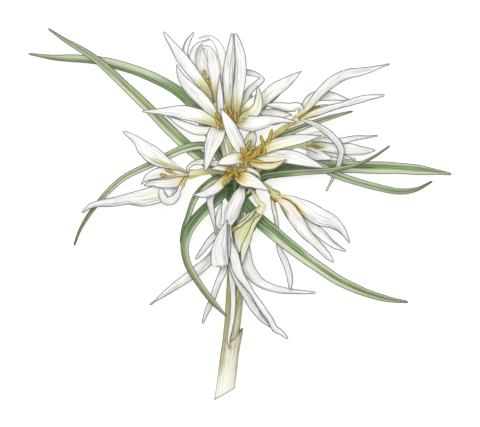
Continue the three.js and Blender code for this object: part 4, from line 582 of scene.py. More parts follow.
                (6.8, -34.7, 15.2), (9.7, -39, 13), (12, -42.3, 11.2), (13.9, -46, 9.4), (16.6, -47.8, 8),
                (19.3, -50.4, 6.4)),
                (2.6, 4.4, 4.6, 4.3, 3.2, 2.2, 2.8, 2.8, 2.7, 1.1), (GREY(0.2, 0.5, 0.7, 0.2, -1.6, -0.4),
                GREY(0.5, 0.9, 0.7, 0.1, -1.6, -0.5))),
            TepalPlan(((-8.4, -5.6, 27), (-8.6, -2, 28), (-8.1, 1.2, 28.2), (-7, 4.8, 27.8)),
                (2.6,), (GREY(-0.2, 1.2, 0.3, 0.3), LEFT_SHADE)),
            TepalPlan(((-4.2, -16, 21.6), (-2.7, -22.5, 19.4), (-0.2, -28.2, 16.8), (3.1, -33.6, 14),
                (6, -38.5, 11.4), (8.9, -42.4, 9.4), (12.7, -45.8, 7.8)),
                (1.8, 2.4, 2.6, 2.9, 3.3, 3.6, 3.4, 2.4, 0.9), (GREY(0.25, 0.9, 1.3, 0.12, 0.1),
                GREY(0.2, 1, 0.5, 0.2))),
        ),
        tube_tints=(GREY(-0.2, 1.2, 0.9, 0.12, -1.3, -0.6), GREY(-0.2, 1.2, 0.8, 0.1, 0.7, 1.3),
            GREY(0.1, 1, 0.5, 0.12, -0.1, 0.3), GREY(-0.1, 0.5, 0.8, 0.14, 0.1, 1.2)),
    ),
)


def smoothstep(value: np.ndarray, low: float, high: float) -> np.ndarray:
    """Eases from 0 at low to 1 at high, as 3x^2 - 2x^3."""
    share = np.clip((value - low) / (high - low), 0.0, 1.0)
    return share * share * (3.0 - 2.0 * share)


def window(value: np.ndarray, low: float, high: float, soft: float) -> np.ndarray:
    """Rises from 0 to 1 over the soft width about low, and falls back about high."""
    rise = smoothstep(value, low - soft / 2, low + soft / 2)
    return rise * (1.0 - smoothstep(value, high - soft / 2, high + soft / 2))


def unit(vectors: np.ndarray) -> np.ndarray:
    """Scales each vector to length one."""
    return vectors / np.maximum(np.linalg.norm(vectors, axis=-1, keepdims=True), 1e-12)


def blended(values: tuple[float, ...], t: np.ndarray) -> np.ndarray:
    """Runs smoothly through evenly spaced values: half a straight share and half an eased one."""
    table = np.asarray(values, float)
    place = np.minimum(t, 0.99999) * (len(table) - 1)
    start = np.floor(place).astype(int)
    share = place - start
    eased = share * share * (3.0 - 2.0 * share)
    return table[start] + (table[start + 1] - table[start]) * (0.5 * share + 0.5 * eased)


def smooth_path(points: np.ndarray, t: np.ndarray) -> np.ndarray:
    """Centripetal cubic through the points.

    Between two points it is the cubic whose end slopes come from the neighbouring chords, each divided by the
    square root of its length. Beyond both ends a point is mirrored.

    Args:
        points: the points passed, one a row.
        t: places along it, from 0 to 1, the same share for every chord.

    Returns:
        The points at t, one a row.
    """
    padded = np.vstack([2 * points[0] - points[1], points, 2 * points[-1] - points[-2]])
    chords = len(points) - 1
    start = np.minimum(np.floor(t * chords).astype(int), chords - 1)
    w = (t * chords - start)[:, None]
    x0, x1, x2, x3 = (padded[start + k] for k in range(4))
    pairs = ((x0, x1), (x1, x2), (x2, x3))
    d0, d1, d2 = (np.sqrt(np.linalg.norm(b - a, axis=1, keepdims=True)) for a, b in pairs)
    t1 = ((x1 - x0) / d0 - (x2 - x0) / (d0 + d1) + (x2 - x1) / d1) * d1
    t2 = ((x2 - x1) / d1 - (x3 - x1) / (d1 + d2) + (x3 - x2) / d2) * d1
    return x1 + t1 * w + (3 * (x2 - x1) - 2 * t1 - t2) * w**2 + (2 * (x1 - x2) + t1 + t2) * w**3


def round_angles(sides: int) -> np.ndarray:
    """Gives evenly spaced angles round a tube, from its underside."""
    return -math.pi / 2 + 2 * math.pi * np.arange(sides) / sides


@dataclass
class Strand:
    """A path cut into evenly spaced stations, each with its direction, side and upper face.

    The side starts at the root's side and soon lies level: level is up x along, and its pull is
    free * share^2 * (1 - e^(-step * rate)), where share is the steepness and free fades in near the root.
    """

    points: np.ndarray
    step: float
    root_side: np.ndarray | None = None
    level_from: tuple[float, float] = (0.04, 0.16)
    level_rate: float = 11.0
    t: np.ndarray = field(init=False)
    at: np.ndarray = field(init=False)
    along: np.ndarray = field(init=False)
    side: np.ndarray = field(init=False)
    normal: np.ndarray = field(init=False)
    length: float = field(init=False)

    def __post_init__(self) -> None:
        """Spaces the stations evenly by length and carries the side along them."""
        fine = np.linspace(0.0, 1.0, FINE_CUTS * len(self.points))
        dense = smooth_path(self.points, fine)
        run = np.concatenate([[0.0], np.cumsum(np.linalg.norm(np.diff(dense, axis=0), axis=1))])
        self.length = float(run[-1])
        count = max(8, round(self.length / self.step))
        self.t = np.linspace(0.0, 1.0, count + 1)
        self.at = smooth_path(self.points, np.interp(self.t * self.length, run, fine))
        self.along = unit(np.gradient(self.at, axis=0))
        level = np.cross([0.0, 0.0, 1.0], self.along)
        share = np.linalg.norm(level, axis=1)
        level = unit(level)
        free = smoothstep(self.t, *self.level_from)
        pull = free * share**2 * (1.0 - math.exp(-self.level_rate / count))
        side = level[0] if self.root_side is None else unit(self.root_side)
        sides = [side]
        for k in range(1, count + 1):
            goal = level[k] if level[k] @ side >= 0 else -level[k]
            side = side + (goal - side) * pull[k]
            side = side - self.along[k] * (side @ self.along[k])
            side = side / np.linalg.norm(side)
            sides.append(side)
        self.side = np.array(sides)
        self.normal = np.cross(self.along, self.side)

    def spokes(self, angle: np.ndarray) -> np.ndarray:
        """Gives the ways out from each station at angles round it: side * cos a + normal * sin a."""
        cos, sin = np.cos(angle)[None, :, None], np.sin(angle)[None, :, None]
        return self.side[:, None, :] * cos + self.normal[:, None, :] * sin

    def grain(self, seed: int) -> np.ndarray:
        """Gives the second UV value of each station: the run in centimetres, moved on by the seed."""
        return self.t * self.length / 10 + seed

    def handed(self) -> float:
        """Gives 1 where the side points left of the way as seen from above, at the middle, else -1."""
        middle = len(self.t) // 2
        level = np.cross([0.0, 0.0, 1.0], self.along[middle])
        return 1.0 if level @ self.side[middle] >= 0 else -1.0


@dataclass
class Shell:
    """A closed skin: points in millimetres, faces, a UV for each face corner, and marks for each point."""

    points: np.ndarray
    faces: list[tuple[int, ...]]
    corners: np.ndarray
    marks: Marks


def loft(rings: np.ndarray, across: np.ndarray, run: np.ndarray, marks: Marks, flat: bool) -> Shell:
    """Joins rings of equally many points into one closed skin.

    Ring k, point i is joined to its two neighbours round the ring and to the same points of ring k + 1, as
    quads. The ends are closed by strips from side to side where the section is flat, else by one face each.

    Args:
        rings: points as rings x round x 3.
        across: the first UV value at each point round the ring, with the closing one last.
        run: the second UV value of each ring.
        marks: values as rings x round.
        flat: whether the section is a flat blade.

    Returns:
        The skin.
    """
    rows, count = rings.shape[:2]
    k, i = np.meshgrid(np.arange(rows - 1), np.arange(count), indexing="ij")
    j = (i + 1) % count
    near, far = k * count, (k + 1) * count
    quads = np.stack([near + i, near + j, far + j, far + i], axis=-1).reshape(-1, 4)
    u = np.stack([across[i], across[i + 1], across[i + 1], across[i]], axis=-1).reshape(-1)
    v = np.stack([run[k], run[k], run[k + 1], run[k + 1]], axis=-1).reshape(-1)
    faces = [tuple(q) for q in quads.tolist()]
    corners = [np.stack([u, v], axis=-1)]
    last = (rows - 1) * count
    caps: list[list[int]] = []
    if flat:
        half = count // 2
        for s in range(half):
            a, b, c, d = s, s + 1, (count - s - 1) % count, (count - s) % count
            strip = [a, d, c, b] if s else [a, c, b]
            if s == half - 1:
                strip = [a, d, b]
            caps.append(strip)
            caps.append([last + p for p in strip[:1] + strip[:0:-1]])
    else:
        caps = [list(range(count))[::-1], [last + p for p in range(count)]]
    for cap in caps:
        faces.append(tuple(cap))
        ring = 0 if cap[0] < last else rows - 1
        corners.append(np.array([[across[p % count], run[ring]] for p in cap]))
    flatmarks = {name: value.reshape(-1) for name, value in marks.items()}
    return Shell(rings.reshape(-1, 3), faces, np.vstack(corners), flatmarks)


def joined(shells: list[Shell]) -> Shell:
    """Puts several closed skins into one, filling any mark that one lacks with nothing."""
    names = {name for shell in shells for name in shell.marks}
    faces: list[tuple[int, ...]] = []
    base = 0
    for shell in shells:
        faces += [tuple(p + base for p in face) for face in shell.faces]
        base += len(shell.points)
    marks = {
        name: np.concatenate([shell.marks.get(name, np.zeros(len(shell.points))) for shell in shells])
        for name in names
    }
    return Shell(np.vstack([s.points for s in shells]), faces, np.vstack([s.corners for s in shells]), marks)


def stained_and_shaded(tints: tuple[Tint, ...], t: np.ndarray, lean: np.ndarray) -> Marks:
    """Adds up the tints on a grid, stains and painted shade alike.

    Each tint is strength * window(t) * window(lean), and tints of one kind keep the greater value.

    Args:
        tints: the stains and painted shade to lay on.
        t: share of the length, for each row.
        lean: place across from -1 to 1, for each point of the grid.

    Returns:
        A value for each point, by attribute name.
    """
    marks = {stain_or_shade.value: np.zeros(lean.shape) for stain_or_shade in StainOrShade}
    for tint in tints:
        along = window(t, tint.start, tint.end, tint.soft)[:, None]
        layer = tint.strength * along * window(lean, tint.right, tint.left, ACROSS_SOFT * tint.soft)
        name = tint.stain_or_shade.value
        marks[name] = np.maximum(marks[name], layer)
    return marks


@dataclass(frozen=True)
class BladeForm:
    """How a blade is filled out: thickness in the middle, cup, edge waves, added cup by the root, columns."""

    thickness: float
    cup: float
    wave: float
    wrap: float
    columns: int = 14


def blade(strand: Strand, width: np.ndarray, form: BladeForm, tints: tuple[Tint, ...], seed: int) -> Shell:
    """A thin blade with a lens-shaped section, thin at both margins.

    At u from -1 to 1 across, a point is centre + side * u * half + normal * (lift +- thick), where
    half = width / 2 * (1 + small seeded waves of its own for each margin),
    lift = (cup + wrap near the root) * width * u^2 + wave * u^2 * u * a slow sine along the blade, and
    thick = thickness / 2 * (1 - u^4), thinned again towards the tip.

    Args:
        strand: the path.
        width: full width at each station, in millimetres.
        form: how it is filled out.
        tints: stains and painted shade to lay on.
        seed: sets the waves of this blade.

    Returns:
        The closed skin.
    """
    turn = np.linspace(1.0, -1.0, form.columns + 1)
    top = 0.45 * turn + 0.55 * np.sin(turn * math.pi / 2)
    u = np.concatenate([top, top[-2:0:-1]])[None, :]
    face = np.concatenate([np.ones(len(top)), -np.ones(len(top) - 2)])[None, :]
    phases = np.random.default_rng(SEED + seed).uniform(0.0, 2 * math.pi, 6)
    t, run, width = strand.t[:, None], (strand.t * strand.length)[:, None], width[:, None]
    left, right = (
        sum(high * np.sin(run / long + phase) for high, long, phase in zip(MARGIN_SWELL, waves, phases[k:]))
        for k, waves in zip((0, 2), MARGIN_WAVES)
    )
    fade = smoothstep(t, 0.12, 0.3) * (1.0 - smoothstep(t, 0.85, 1.0))
    half = width / 2 * (1.0 + np.where(u > 0, left, right) * fade)
    lift = (form.cup + form.wrap * (1.0 - smoothstep(t, 0.02, 0.3))) * width * u**2
    flutter = sum(high * np.sin(run / long + phase) for (long, high), phase in zip(FLUTTER, phases[4:]))
    lift = lift + form.wave * fade * u**2 * flutter * np.sign(u) * width / 5
    thick = form.thickness / 2 * (1.0 - u**4) * (1.0 - 0.65 * smoothstep(t, 0.7, 1.0))
    spread, rise = (u * half)[..., None], (lift + face * thick)[..., None]
    rings = strand.at[:, None, :] + strand.side[:, None, :] * spread + strand.normal[:, None, :] * rise
    marks = stained_and_shaded(tints, strand.t, np.broadcast_to(u * strand.handed(), half.shape))
    marks["margin"] = np.minimum(half * (1.0 - np.abs(u)), (1.0 - t) * strand.length)
    across = np.append(u[0], u[0, 0]) * 0.5 * strand.handed() + 0.5
    return loft(rings, across, strand.grain(seed), marks, True)


def tube(
    strand: Strand,
    radius: np.ndarray,
    sides: int,
    tints: tuple[Tint, ...] = (),
    seed: int = 0,
    lobes: tuple[int, float] = (0, 0.0),
) -> Shell:
    """A round or lobed tube: centre + spoke at angle a * radius * (1 + depth * cos(lobes * a)).

    Args:
        strand: the path.
        radius: radius at each station, in millimetres.
        sides: points round it.
        tints: stains and painted shade, whose across is the cosine of the angle, so 1 and -1 are its two
            flanks.
        seed: moves its grain.
        lobes: how many lobes, and how deep as a share of the radius.

    Returns:
        The closed skin.
    """
    angle = round_angles(sides)
    swell = 1.0 + lobes[1] * np.cos(lobes[0] * (angle - math.pi / 2))
    reach = radius[:, None] * swell[None, :]
    rings = strand.at[:, None, :] + strand.spokes(angle) * reach[..., None]
    lean = np.broadcast_to(np.cos(angle)[None, :] * strand.handed(), reach.shape)
    marks = stained_and_shaded(tints, strand.t, lean)
    # painted shade: the margin falls towards both flanks, as seen from above, so the outline colour darkens
    # every tube's sides
    marks["margin"] = np.minimum((1.0 - np.abs(lean)) * radius[:, None] * 2.0 + FLANK_SHADE_MARGIN, FAR)
    return loft(rings, np.arange(sides + 1) / sides, strand.grain(seed), marks, False)


def tip_rounding(strand: Strand, reach: float) -> np.ndarray:
    """Rounds the tip: sqrt(1 - x^2) over the last millimetres, from 1 down to a small blunt end."""
    share = np.clip(1.0 - (1.0 - strand.t) * strand.length / reach, 0.0, 1.0)
    return np.sqrt(np.maximum(1.0 - share**2, 0.03))


def piece_from(shells: list[Shell], name: str, material: bpy.types.Material) -> bpy.types.Object:
    """Makes one mesh object of closed skins, in metres, with its UV map, its marks and smooth faces."""
    shell = joined(shells)
    mesh = bpy.data.meshes.new(name)
    mesh.from_pydata((shell.points * MM).tolist(), [], shell.faces)
    mesh.polygons.foreach_set("use_smooth", np.ones(len(mesh.polygons), bool))
    layer = mesh.uv_layers.new(name="grain")
    layer.data.foreach_set("uv", shell.corners.astype(np.float32).reshape(-1))
    for mark, values in shell.marks.items():
        attribute = mesh.attributes.new(mark, "FLOAT", "POINT")
        attribute.data.foreach_set("value", values.astype(np.float32))
    mesh.materials.append(material)
    mesh.update()
    piece = bpy.data.objects.new(name, mesh)
    bpy.context.collection.objects.link(piece)
    return piece


def tone(code: str) -> Colour:
    """Turns a screen colour such as 8B8B8B into the linear one that shaders use."""
    shares = [int(code[k : k + 2], 16) / 255 for k in (0, 2, 4)]
    return tuple(s / 12.92 if s <= 0.04045 else ((s + 0.055) / 1.055) ** 2.4 for s in shares)


class Wire:
    """A socket that gives a value, with arithmetic that adds Math nodes."""

    def __init__(self, graph: "Graph", socket: bpy.types.NodeSocket) -> None:
        """Keeps the socket and the graph it belongs to."""
        self.graph = graph
        self.socket = socket

    def __add__(self, other: "Wire | float") -> "Wire":
        """Adds."""
        return self.graph.maths("ADD", self, other)

    def __sub__(self, other: "Wire | float") -> "Wire":
        """Takes the other away."""
        return self.graph.maths("SUBTRACT", self, other)

    def __rsub__(self, other: float) -> "Wire":
        """Takes this away from a number."""
        return self.graph.maths("SUBTRACT", other, self)

    def __mul__(self, other: "Wire | float") -> "Wire":
        """Multiplies."""
        return self.graph.maths("MULTIPLY", self, other)

    __radd__ = __add__
    __rmul__ = __mul__


class Graph:
    """The node tree of one material."""

    def __init__(self, name: str) -> None:
        """Starts an empty material of that name."""
        self.material = bpy.data.materials.new(name)
        self.material.use_nodes = True
        self.tree = self.material.node_tree
        self.tree.nodes.clear()

    def node(self, kind: str, settings: dict[str, object], inputs: Sockets) -> bpy.types.Node:
        """Adds a node.

        Args:
            kind: the node's type, without its ShaderNode prefix.
            settings: its properties, set first; stops are a ramp's places and colours.
            inputs: a value or a wire for each socket, by name or number.

        Returns:
            The node.
        """
        node = self.tree.nodes.new("ShaderNode" + kind)
        for name, value in settings.items():
            if name == "stops":
                ramp = node.color_ramp
                while len(ramp.elements) < len(value):
                    ramp.elements.new(0.5)
                for element, (place, code) in zip(ramp.elements, value):
                    element.position = place
                    element.color = (*tone(code), 1.0)
            else:
                setattr(node, name, value)
        for name, value in inputs.items():
            socket = node.inputs[name]
            if isinstance(value, Wire):
                self.tree.links.new(value.socket, socket)
            elif isinstance(value, tuple) and socket.type == "RGBA":
                socket.default_value = (*value, 1.0)
            else:
                socket.default_value = value
        return node

    def wire(self, node: bpy.types.Node, output: str | int = 0) -> Wire:
        """Gives one output of a node."""
        return Wire(self, node.outputs[output])

    def maths(self, operation: str, *values: "Wire | float") -> Wire:
        """Adds a Math node on one to three values."""
        return self.wire(self.node("Math", {"operation": operation}, dict(enumerate(values))))

    def mark(self, name: str) -> Wire:
        """Reads a mark of the mesh."""
        node = self.node("Attribute", {"attribute_type": "GEOMETRY", "attribute_name": name}, {})
        return self.wire(node, "Fac")

    def grain(self) -> Wire:
        """Reads the piece's own UV map: across in shares, along in centimetres."""
        return self.wire(self.node("UVMap", {"uv_map": "grain"}, {}))

    def place(self) -> Wire:
        """Reads the Object coordinates, in metres."""
        return self.wire(self.node("TexCoord", {}, {}), "Object")

    def part(self, where: Wire, axis: int) -> Wire:
        """Takes one number out of coordinates."""
        return self.wire(self.node("SeparateXYZ", {}, {0: where}), axis)

    def noise(self, where: Wire, stretch: Point, detail: float = 2.0) -> Wire:
        """Smooth noise about 0.5, with the coordinates stretched first."""
        scaled = self.wire(self.node("VectorMath", {"operation": "MULTIPLY"}, {0: where, 1: stretch}))
        return self.wire(self.node("TexNoise", {}, {"Vector": scaled, "Scale": 1.0, "Detail": detail}))

    def ease(self, value: Wire, low: float, high: float) -> Wire:
        """Eases a value from 0 at low to 1 at high."""
        settings = {"interpolation_type": "SMOOTHSTEP"}
        inputs = {"Value": value, "From Min": low, "From Max": high}
        return self.wire(self.node("MapRange", settings, inputs))

    def lines(self, across: Wire, count: int, wander: Wire, sharp: float) -> Wire:
        """Fine lines along a blade: 1 where |sin(pi * count * (across + wander))| is 0, faded by sharp."""
        phase = (across + wander) * (math.pi * count)
        return 1.0 - self.ease(self.maths("ABSOLUTE", self.maths("SINE", phase)), 0.0, sharp)

    def mix(self, share: "Wire | float", under: object, over: object) -> Wire:
        """Lays one colour over another by a share; colours are wires, screen codes or linear colours."""
        settings = {"data_type": "RGBA", "clamp_factor": True}
        under, over = (tone(colour) if isinstance(colour, str) else colour for colour in (under, over))
        return self.wire(self.node("Mix", settings, {0: share, 6: under, 7: over}), 2)

    def layered(self, base: object, *layers: tuple[Wire, object]) -> Wire:
        """Lays colours over a base one after another, each by its own share."""
        for share, colour in layers:
            base = self.mix(share, base, colour)
        return base

    def finish(self, sockets: Sockets, height: Wire | None, depth: float) -> bpy.types.Material:
        """Closes the tree with a shader and the bump that feeds its normal.

        Args:
            sockets: values or wires of the shader.
            height: what the bump follows.
            depth: how deep the bump is, in metres.

        Returns:
            The material.
        """
        inputs = dict(sockets)
        if height is not None:
            bump = self.node("Bump", {}, {"Strength": 1.0, "Distance": depth, "Height": height})
            inputs["Normal"] = self.wire(bump)
        shader = self.node("BsdfPrincipled", {}, inputs)
        self.node("OutputMaterial", {}, {"Surface": self.wire(shader)})
        return self.material


@dataclass(frozen=True)
class Finish:
    """A surface: its name, its shine, and a roughness that varies by a tenth to either side."""

    name: str
    roughness: float
    shine: float

    def close(self, colour: Wire, uneven: Wire, height: Wire, depth: float) -> bpy.types.Material:
        """Closes the material of a colour.

        Args:
            colour: the colour.
            uneven: noise that the roughness follows.
            height: what the bump follows.
            depth: how deep the bump is, in metres.

        Returns:
            The material.
        """
        rough = uneven * 0.2 + (self.roughness - 0.1)
        sockets = {"Base Color": colour, "Roughness": rough, "Specular IOR Level": self.shine}
        return colour.graph.finish(sockets, height, depth)


@dataclass(frozen=True)
class PetalFinish(Finish):
    """Thin white petal: grey veins, a fine grey margin, gold and lime washes, and grey washes of painted shade
    where its marks say.
    """

    name: str = "petal_white"
    roughness: float = 0.62
    shine: float = 0.25
    base: str = "FBFBF8"
    vein: str = "8E908B"
    margin: str = "565654"
    margin_width: float = 0.46

    def material(self) -> bpy.types.Material:
        """Builds the petal material, which reads the grain UV map and the petal marks."""
        g = Graph(self.name)
        grain = g.grain()
        streak = g.noise(grain, (16.0, 0.9, 1.0), 3.0)
        patch = g.noise(grain, (2.2, 1.1, 1.0), 2.0)
        wander = (g.noise(grain, (3.0, 0.5, 1.0)) - 0.5) * 0.10
        vein = g.lines(g.part(grain, 0), 5, wander * 1.6, 0.3) * g.ease(patch, 0.36, 0.62)
        rough_edge = g.noise(grain, (1.0, 7.0, 1.0)) * 0.26
        # the outline also paints shade along the flanks of the tubes, where their margin mark is low
        edge = 1.0 - g.ease(g.mark("margin") - rough_edge, self.margin_width * 0.1, self.margin_width)
        streaky = g.ease(streak, 0.36, 0.64)
        fine = g.ease(g.noise(grain, (13.0, 1.5, 1.0), 2.0), 0.41, 0.58)
        gold = g.mark("gold") * (0.55 + 0.45 * fine)
        olive = g.mark("olive") * (0.5 + 0.5 * fine)
        # painted shade: the grey mark, broken up by fine noise, darkens the petals where shade falls
        painted_shade = g.mark("grey") * (0.12 + 0.88 * fine) * (0.5 + 0.5 * streaky)
        outline = g.mix(g.ease(gold + olive, 0.1, 0.6) * 0.75, self.margin, "7B5E1E")
        colour = g.layered(
            self.base,
            (g.ease(streak, 0.46, 0.74) * 0.09, self.vein),
            (vein * 0.8, self.vein),
            (g.mark("blush") * (0.35 + 0.5 * streaky), "F1DFD2"),
            (g.mark("lime") * (0.55 + 0.45 * streaky), "E1E3AC"),
            (g.ease(gold, 0.0, 0.4) * 0.9, "EBE3A6"),
            (g.ease(gold, 0.25, 0.8) * (0.3 + 0.7 * fine), "C6A531"),
            (g.ease(gold, 0.6, 1.0) * fine * 0.8, "936A17"),
            (g.ease(olive, 0.0, 0.5) * 0.9, "D6D197"),
            (g.ease(olive, 0.3, 0.9) * (0.3 + 0.7 * fine), "A49A4A"),
            (painted_shade * 0.95, "969895"),
            (g.mark("deep"), "4A6B3E"),
            (g.mark("brown") * (0.35 + 0.65 * fine), "83590F"),
            (edge * (1.0 - g.mark("pale") * 0.8) * 0.85, outline),
        )
        height = 1.0 - vein * 0.7 + streak * 0.6
        return self.close(colour, g.noise(grain, (20.0, 6.0, 1.0)), height, 0.00012)


@dataclass(frozen=True)
class LeafFinish(Finish):
    """Strap leaf: green with a dark band, pale stripes, fine parallel veins and a thin dark rim."""

    name: str = "leaf_green"
    roughness: float = 0.5
    shine: float = 0.3
    base: str = "CEDBB2"
    green: str = "79975C"
    deep: str = "4B7040"
    pale: str = "E4ECCF"
    olive: str = "8C8B45"
    rim: str = "43503A"

    def material(self) -> bpy.types.Material:
        """Builds the leaf material, which reads the grain UV map and the leaf marks."""
        g = Graph(self.name)
        grain = g.grain()
        across = g.part(grain, 0)
        streak = g.noise(grain, (15.0, 0.5, 1.0), 3.0)
        patch = g.noise(grain, (3.0, 0.7, 1.0), 2.0)
        wander = (g.noise(grain, (2.0, 0.25, 1.0)) - 0.5) * 0.05
        veins = g.lines(across, 13, wander, 0.5)
        bold = g.lines(across + 0.06, 4, wander * 1.6, 0.36) * g.ease(patch, 0.36, 0.52)
        ridges = g.lines(across + 0.16, 4, wander * 1.6, 0.5) * g.ease(patch, 0.34, 0.6)
        midrib = g.lines(across - 0.5, 1, wander, 0.16)
        fine = g.ease(g.noise(grain, (11.0, 1.1, 1.0), 2.0), 0.4, 0.6)
        strokes = g.ease(g.noise(grain, (5.5, 0.45, 1.0), 1.0), 0.42, 0.56)
        deep = g.mark("deep") * (0.72 + 0.28 * g.ease(patch, 0.35, 0.65))
        clear = 1.0 - g.ease(g.mark("pale"), 0.2, 1.0) * 0.75
        margin = g.mark("margin")
        edge = 1.0 - g.ease(margin - g.noise(grain, (1.0, 5.0, 1.0)) * 0.2, 0.04, 0.4)
        lip = (1.0 - g.ease(margin, 0.5, 0.95)) * (1.0 - g.ease(deep, 0.1, 0.5)) * 0.6
        streaky = g.ease(streak, 0.3, 0.7)
        colour = g.layered(
            self.base,
            (g.ease(streak, 0.42, 0.6) * 0.85, "A3B984"),
            (g.mark("pale") * (0.7 + 0.3 * streaky), self.pale),
            (g.ease(deep, 0.0, 0.6) * (0.3 + 0.35 * fine + 0.35 * strokes), self.green),
            (g.ease(deep, 0.45, 0.95) * (0.3 + 0.25 * fine + 0.45 * strokes), self.deep),
            (ridges * 0.5, "DFE9C8"),
            (veins * g.ease(streak, 0.3, 0.6) * clear * 0.6, "5C7C50"),
            ((1.0 - strokes) * clear * 0.22, "6F8C56"),
            (bold * clear * 0.6, "4F6F41"),
            (midrib * 0.45, "48683F"),
            (g.mark("olive") * (0.5 + 0.5 * streaky), self.olive),
            (lip, "D8E0C8"),
            (edge * 0.88, self.rim),
        )
        height = 1.0 - veins * 0.5 - midrib * 0.8 + ridges * 0.3
        return self.close(colour, g.noise(grain, (20.0, 4.0, 1.0)), height, 0.00015)


@dataclass(frozen=True)
class StemFinish(Finish):
    """Stem: olive green where it meets the head, speckled yellow-green below, cream where the sheath lies."""

    name: str = "stem_sheathed"
    roughness: float = 0.6
    shine: float = 0.25
    stops: tuple[tuple[float, str], ...] = (
        (0.0, "FFFEF8"), (0.22, "FBF7E8"), (0.4, "EAE5C8"),
        (0.56, "BCBA7C"), (0.72, "94964F"), (1.0, "6A7438"),
    )

    def material(self) -> bpy.types.Material:
        """Builds the stem material.

        The colour runs along Y, by its stops, from near white at the cut to olive 10 mm short of the middle,
        and is green beyond it. Around the stem, lean is the sine of the turn, 1 on the left flank and -1 on
        the right one.

        Returns:
            The material, which reads the grain UV map, Object coordinates and the stem marks.
        """
        g = Graph(self.name)
        grain, place = g.grain(), g.place()
        along = g.part(place, 1)
        lean = g.maths("SINE", g.part(grain, 0) * (2 * math.pi))
        streak = g.noise(grain, (15.0, 0.5, 1.0), 3.0)
        fine = g.ease(g.noise(grain, (44.0, 0.7, 1.0)), 0.42, 0.6)
        drift = (streak - 0.5) * 0.016
        shares = g.maths("DIVIDE", along + drift + 0.078, 0.068)
        run = g.wire(g.node("ValToRGB", {"stops": self.stops}, {"Fac": shares}))
        specks = g.ease(g.noise(place, (1700.0, 520.0, 1700.0), 3.0), 0.6, 0.7)
        # painted shade: olive on the left flank and green on the right one darken the sides of the sheath
        left = g.ease(lean, 0.2, 0.75) * g.ease(along + drift, -0.069, -0.058)
        left = left * (1.0 - g.ease(along, -0.046, -0.036))
        right = g.ease(-1.0 * lean, 0.3, 0.85) * g.ease(along + drift, -0.068, -0.056)
        # painted shade: besides the cut rim, the margin mark darkens both flanks of the stem and head as seen
        # from above
        edge = 1.0 - g.ease(g.mark("margin"), 0.12, 0.62)
        colour = g.layered(
            run,
            (fine * (0.1 + 0.35 * g.ease(along, -0.07, -0.045)), "8C8A4E"),
            (g.ease(streak, 0.52, 0.66) * 0.6, "F6F0DE"),
            # painted shade on the left and right flanks
            (left * (0.55 + 0.45 * fine), "A9A766"),
            (right * (0.25 + 0.5 * fine), "A9B684"),
            (specks * g.ease(along, -0.062, -0.05) * 0.7, "6E5A2A"),
            (g.ease(along, 0.0, 0.006), "55743F"),
            (g.mark("brown") * 0.8, "83744A"),
            (edge * 0.85, "66624A"),
        )
        return self.close(colour, streak, streak * 0.6 + fine * 0.5, 0.0002)


@dataclass(frozen=True)
class StamenFinish(Finish):
    """Golden thread and anther, darker along the middle line and at the tip, with painted shade on both flanks
    of each anther and a dusting of pollen.
    """

    name: str = "stamen"
    roughness: float = 0.7
    shine: float = 0.2
    gold: Colour = FlowerPlan.anther
    dark_brown_and_shade: Colour = (0.2, 0.13, 0.015)

    def material(self) -> bpy.types.Material:
        """Builds the stamen material, which reads Object coordinates and the stamen marks."""
        g = Graph(self.name)
        dust = g.noise(g.place(), (1900.0, 1900.0, 1900.0), 3.0)
        light = tuple(min(1.0, share * 1.45 + 0.03) for share in self.gold)
        colour = g.layered(
            self.gold,
            (g.ease(dust, 0.5, 0.7) * 0.6, light),
            (g.mark("pale"), "E8DDBE"),
            # painted shade: the brown mark also darkens both flanks of each anther
            (g.mark("brown"), self.dark_brown_and_shade),
            ((1.0 - g.ease(dust, 0.3, 0.46)) * 0.5, self.dark_brown_and_shade),
        )
        return self.close(colour, dust, dust, 0.0002)


def floor_material() -> bpy.types.Material:
    """Builds the pale paper-like floor, with the faintest mottle."""
    g = Graph("floor_pale")
    mottle = g.noise(g.place(), (18.0, 18.0, 18.0))
    colour = g.mix(g.ease(mottle, 0.3, 0.7), (0.6, 0.6, 0.6), (0.63, 0.63, 0.63))
    emission = {"Emission Color": (1.0, 1.0, 1.0), "Emission Strength": 0.6}
    return g.finish({"Base Color": colour, "Roughness": 0.9, **emission}, None, 0.0)


@dataclass(frozen=True)
class Head:
    """The round head of the stem, which every foot stands on.

    Args:
        centre: its middle.
        axis: the middle of the cap that carries the feet.
        radius: its size.
    """

    centre: Point = (-1.2, 8.0, 17.5)
    axis: Point = (0.0, 0.75, 0.66)
    radius: float = 5.0

    def over(self, tilt: float, turn: float, clearance: float) -> np.ndarray:
        """Gives a point over the head: centre + (radius + clearance) * direction.

        Args:
            tilt: from the axis, in degrees.
            turn: about the axis, in degrees.
            clearance: off the head, or into it where negative.

        Returns:
            The point.
        """
        axis = unit(np.array(self.axis))
        across = np.array([1.0, 0.0, 0.0])
        back = np.cross(across, axis)
        t, a = math.radians(tilt), math.radians(turn)
        direction = axis * math.cos(t) + (across * math.cos(a) + back * math.sin(a)) * math.sin(t)
        return np.array(self.centre) + direction * (self.radius + clearance)

    def start(self, foot: tuple[float, float]) -> list[np.ndarray]:
        """Gives the first two points of a tube or leaf: inside the head, and straight out from it."""
        return [self.over(*foot, -FOOT_DEPTH), self.over(*foot, FOOT_RISE)]


HEAD = Head()


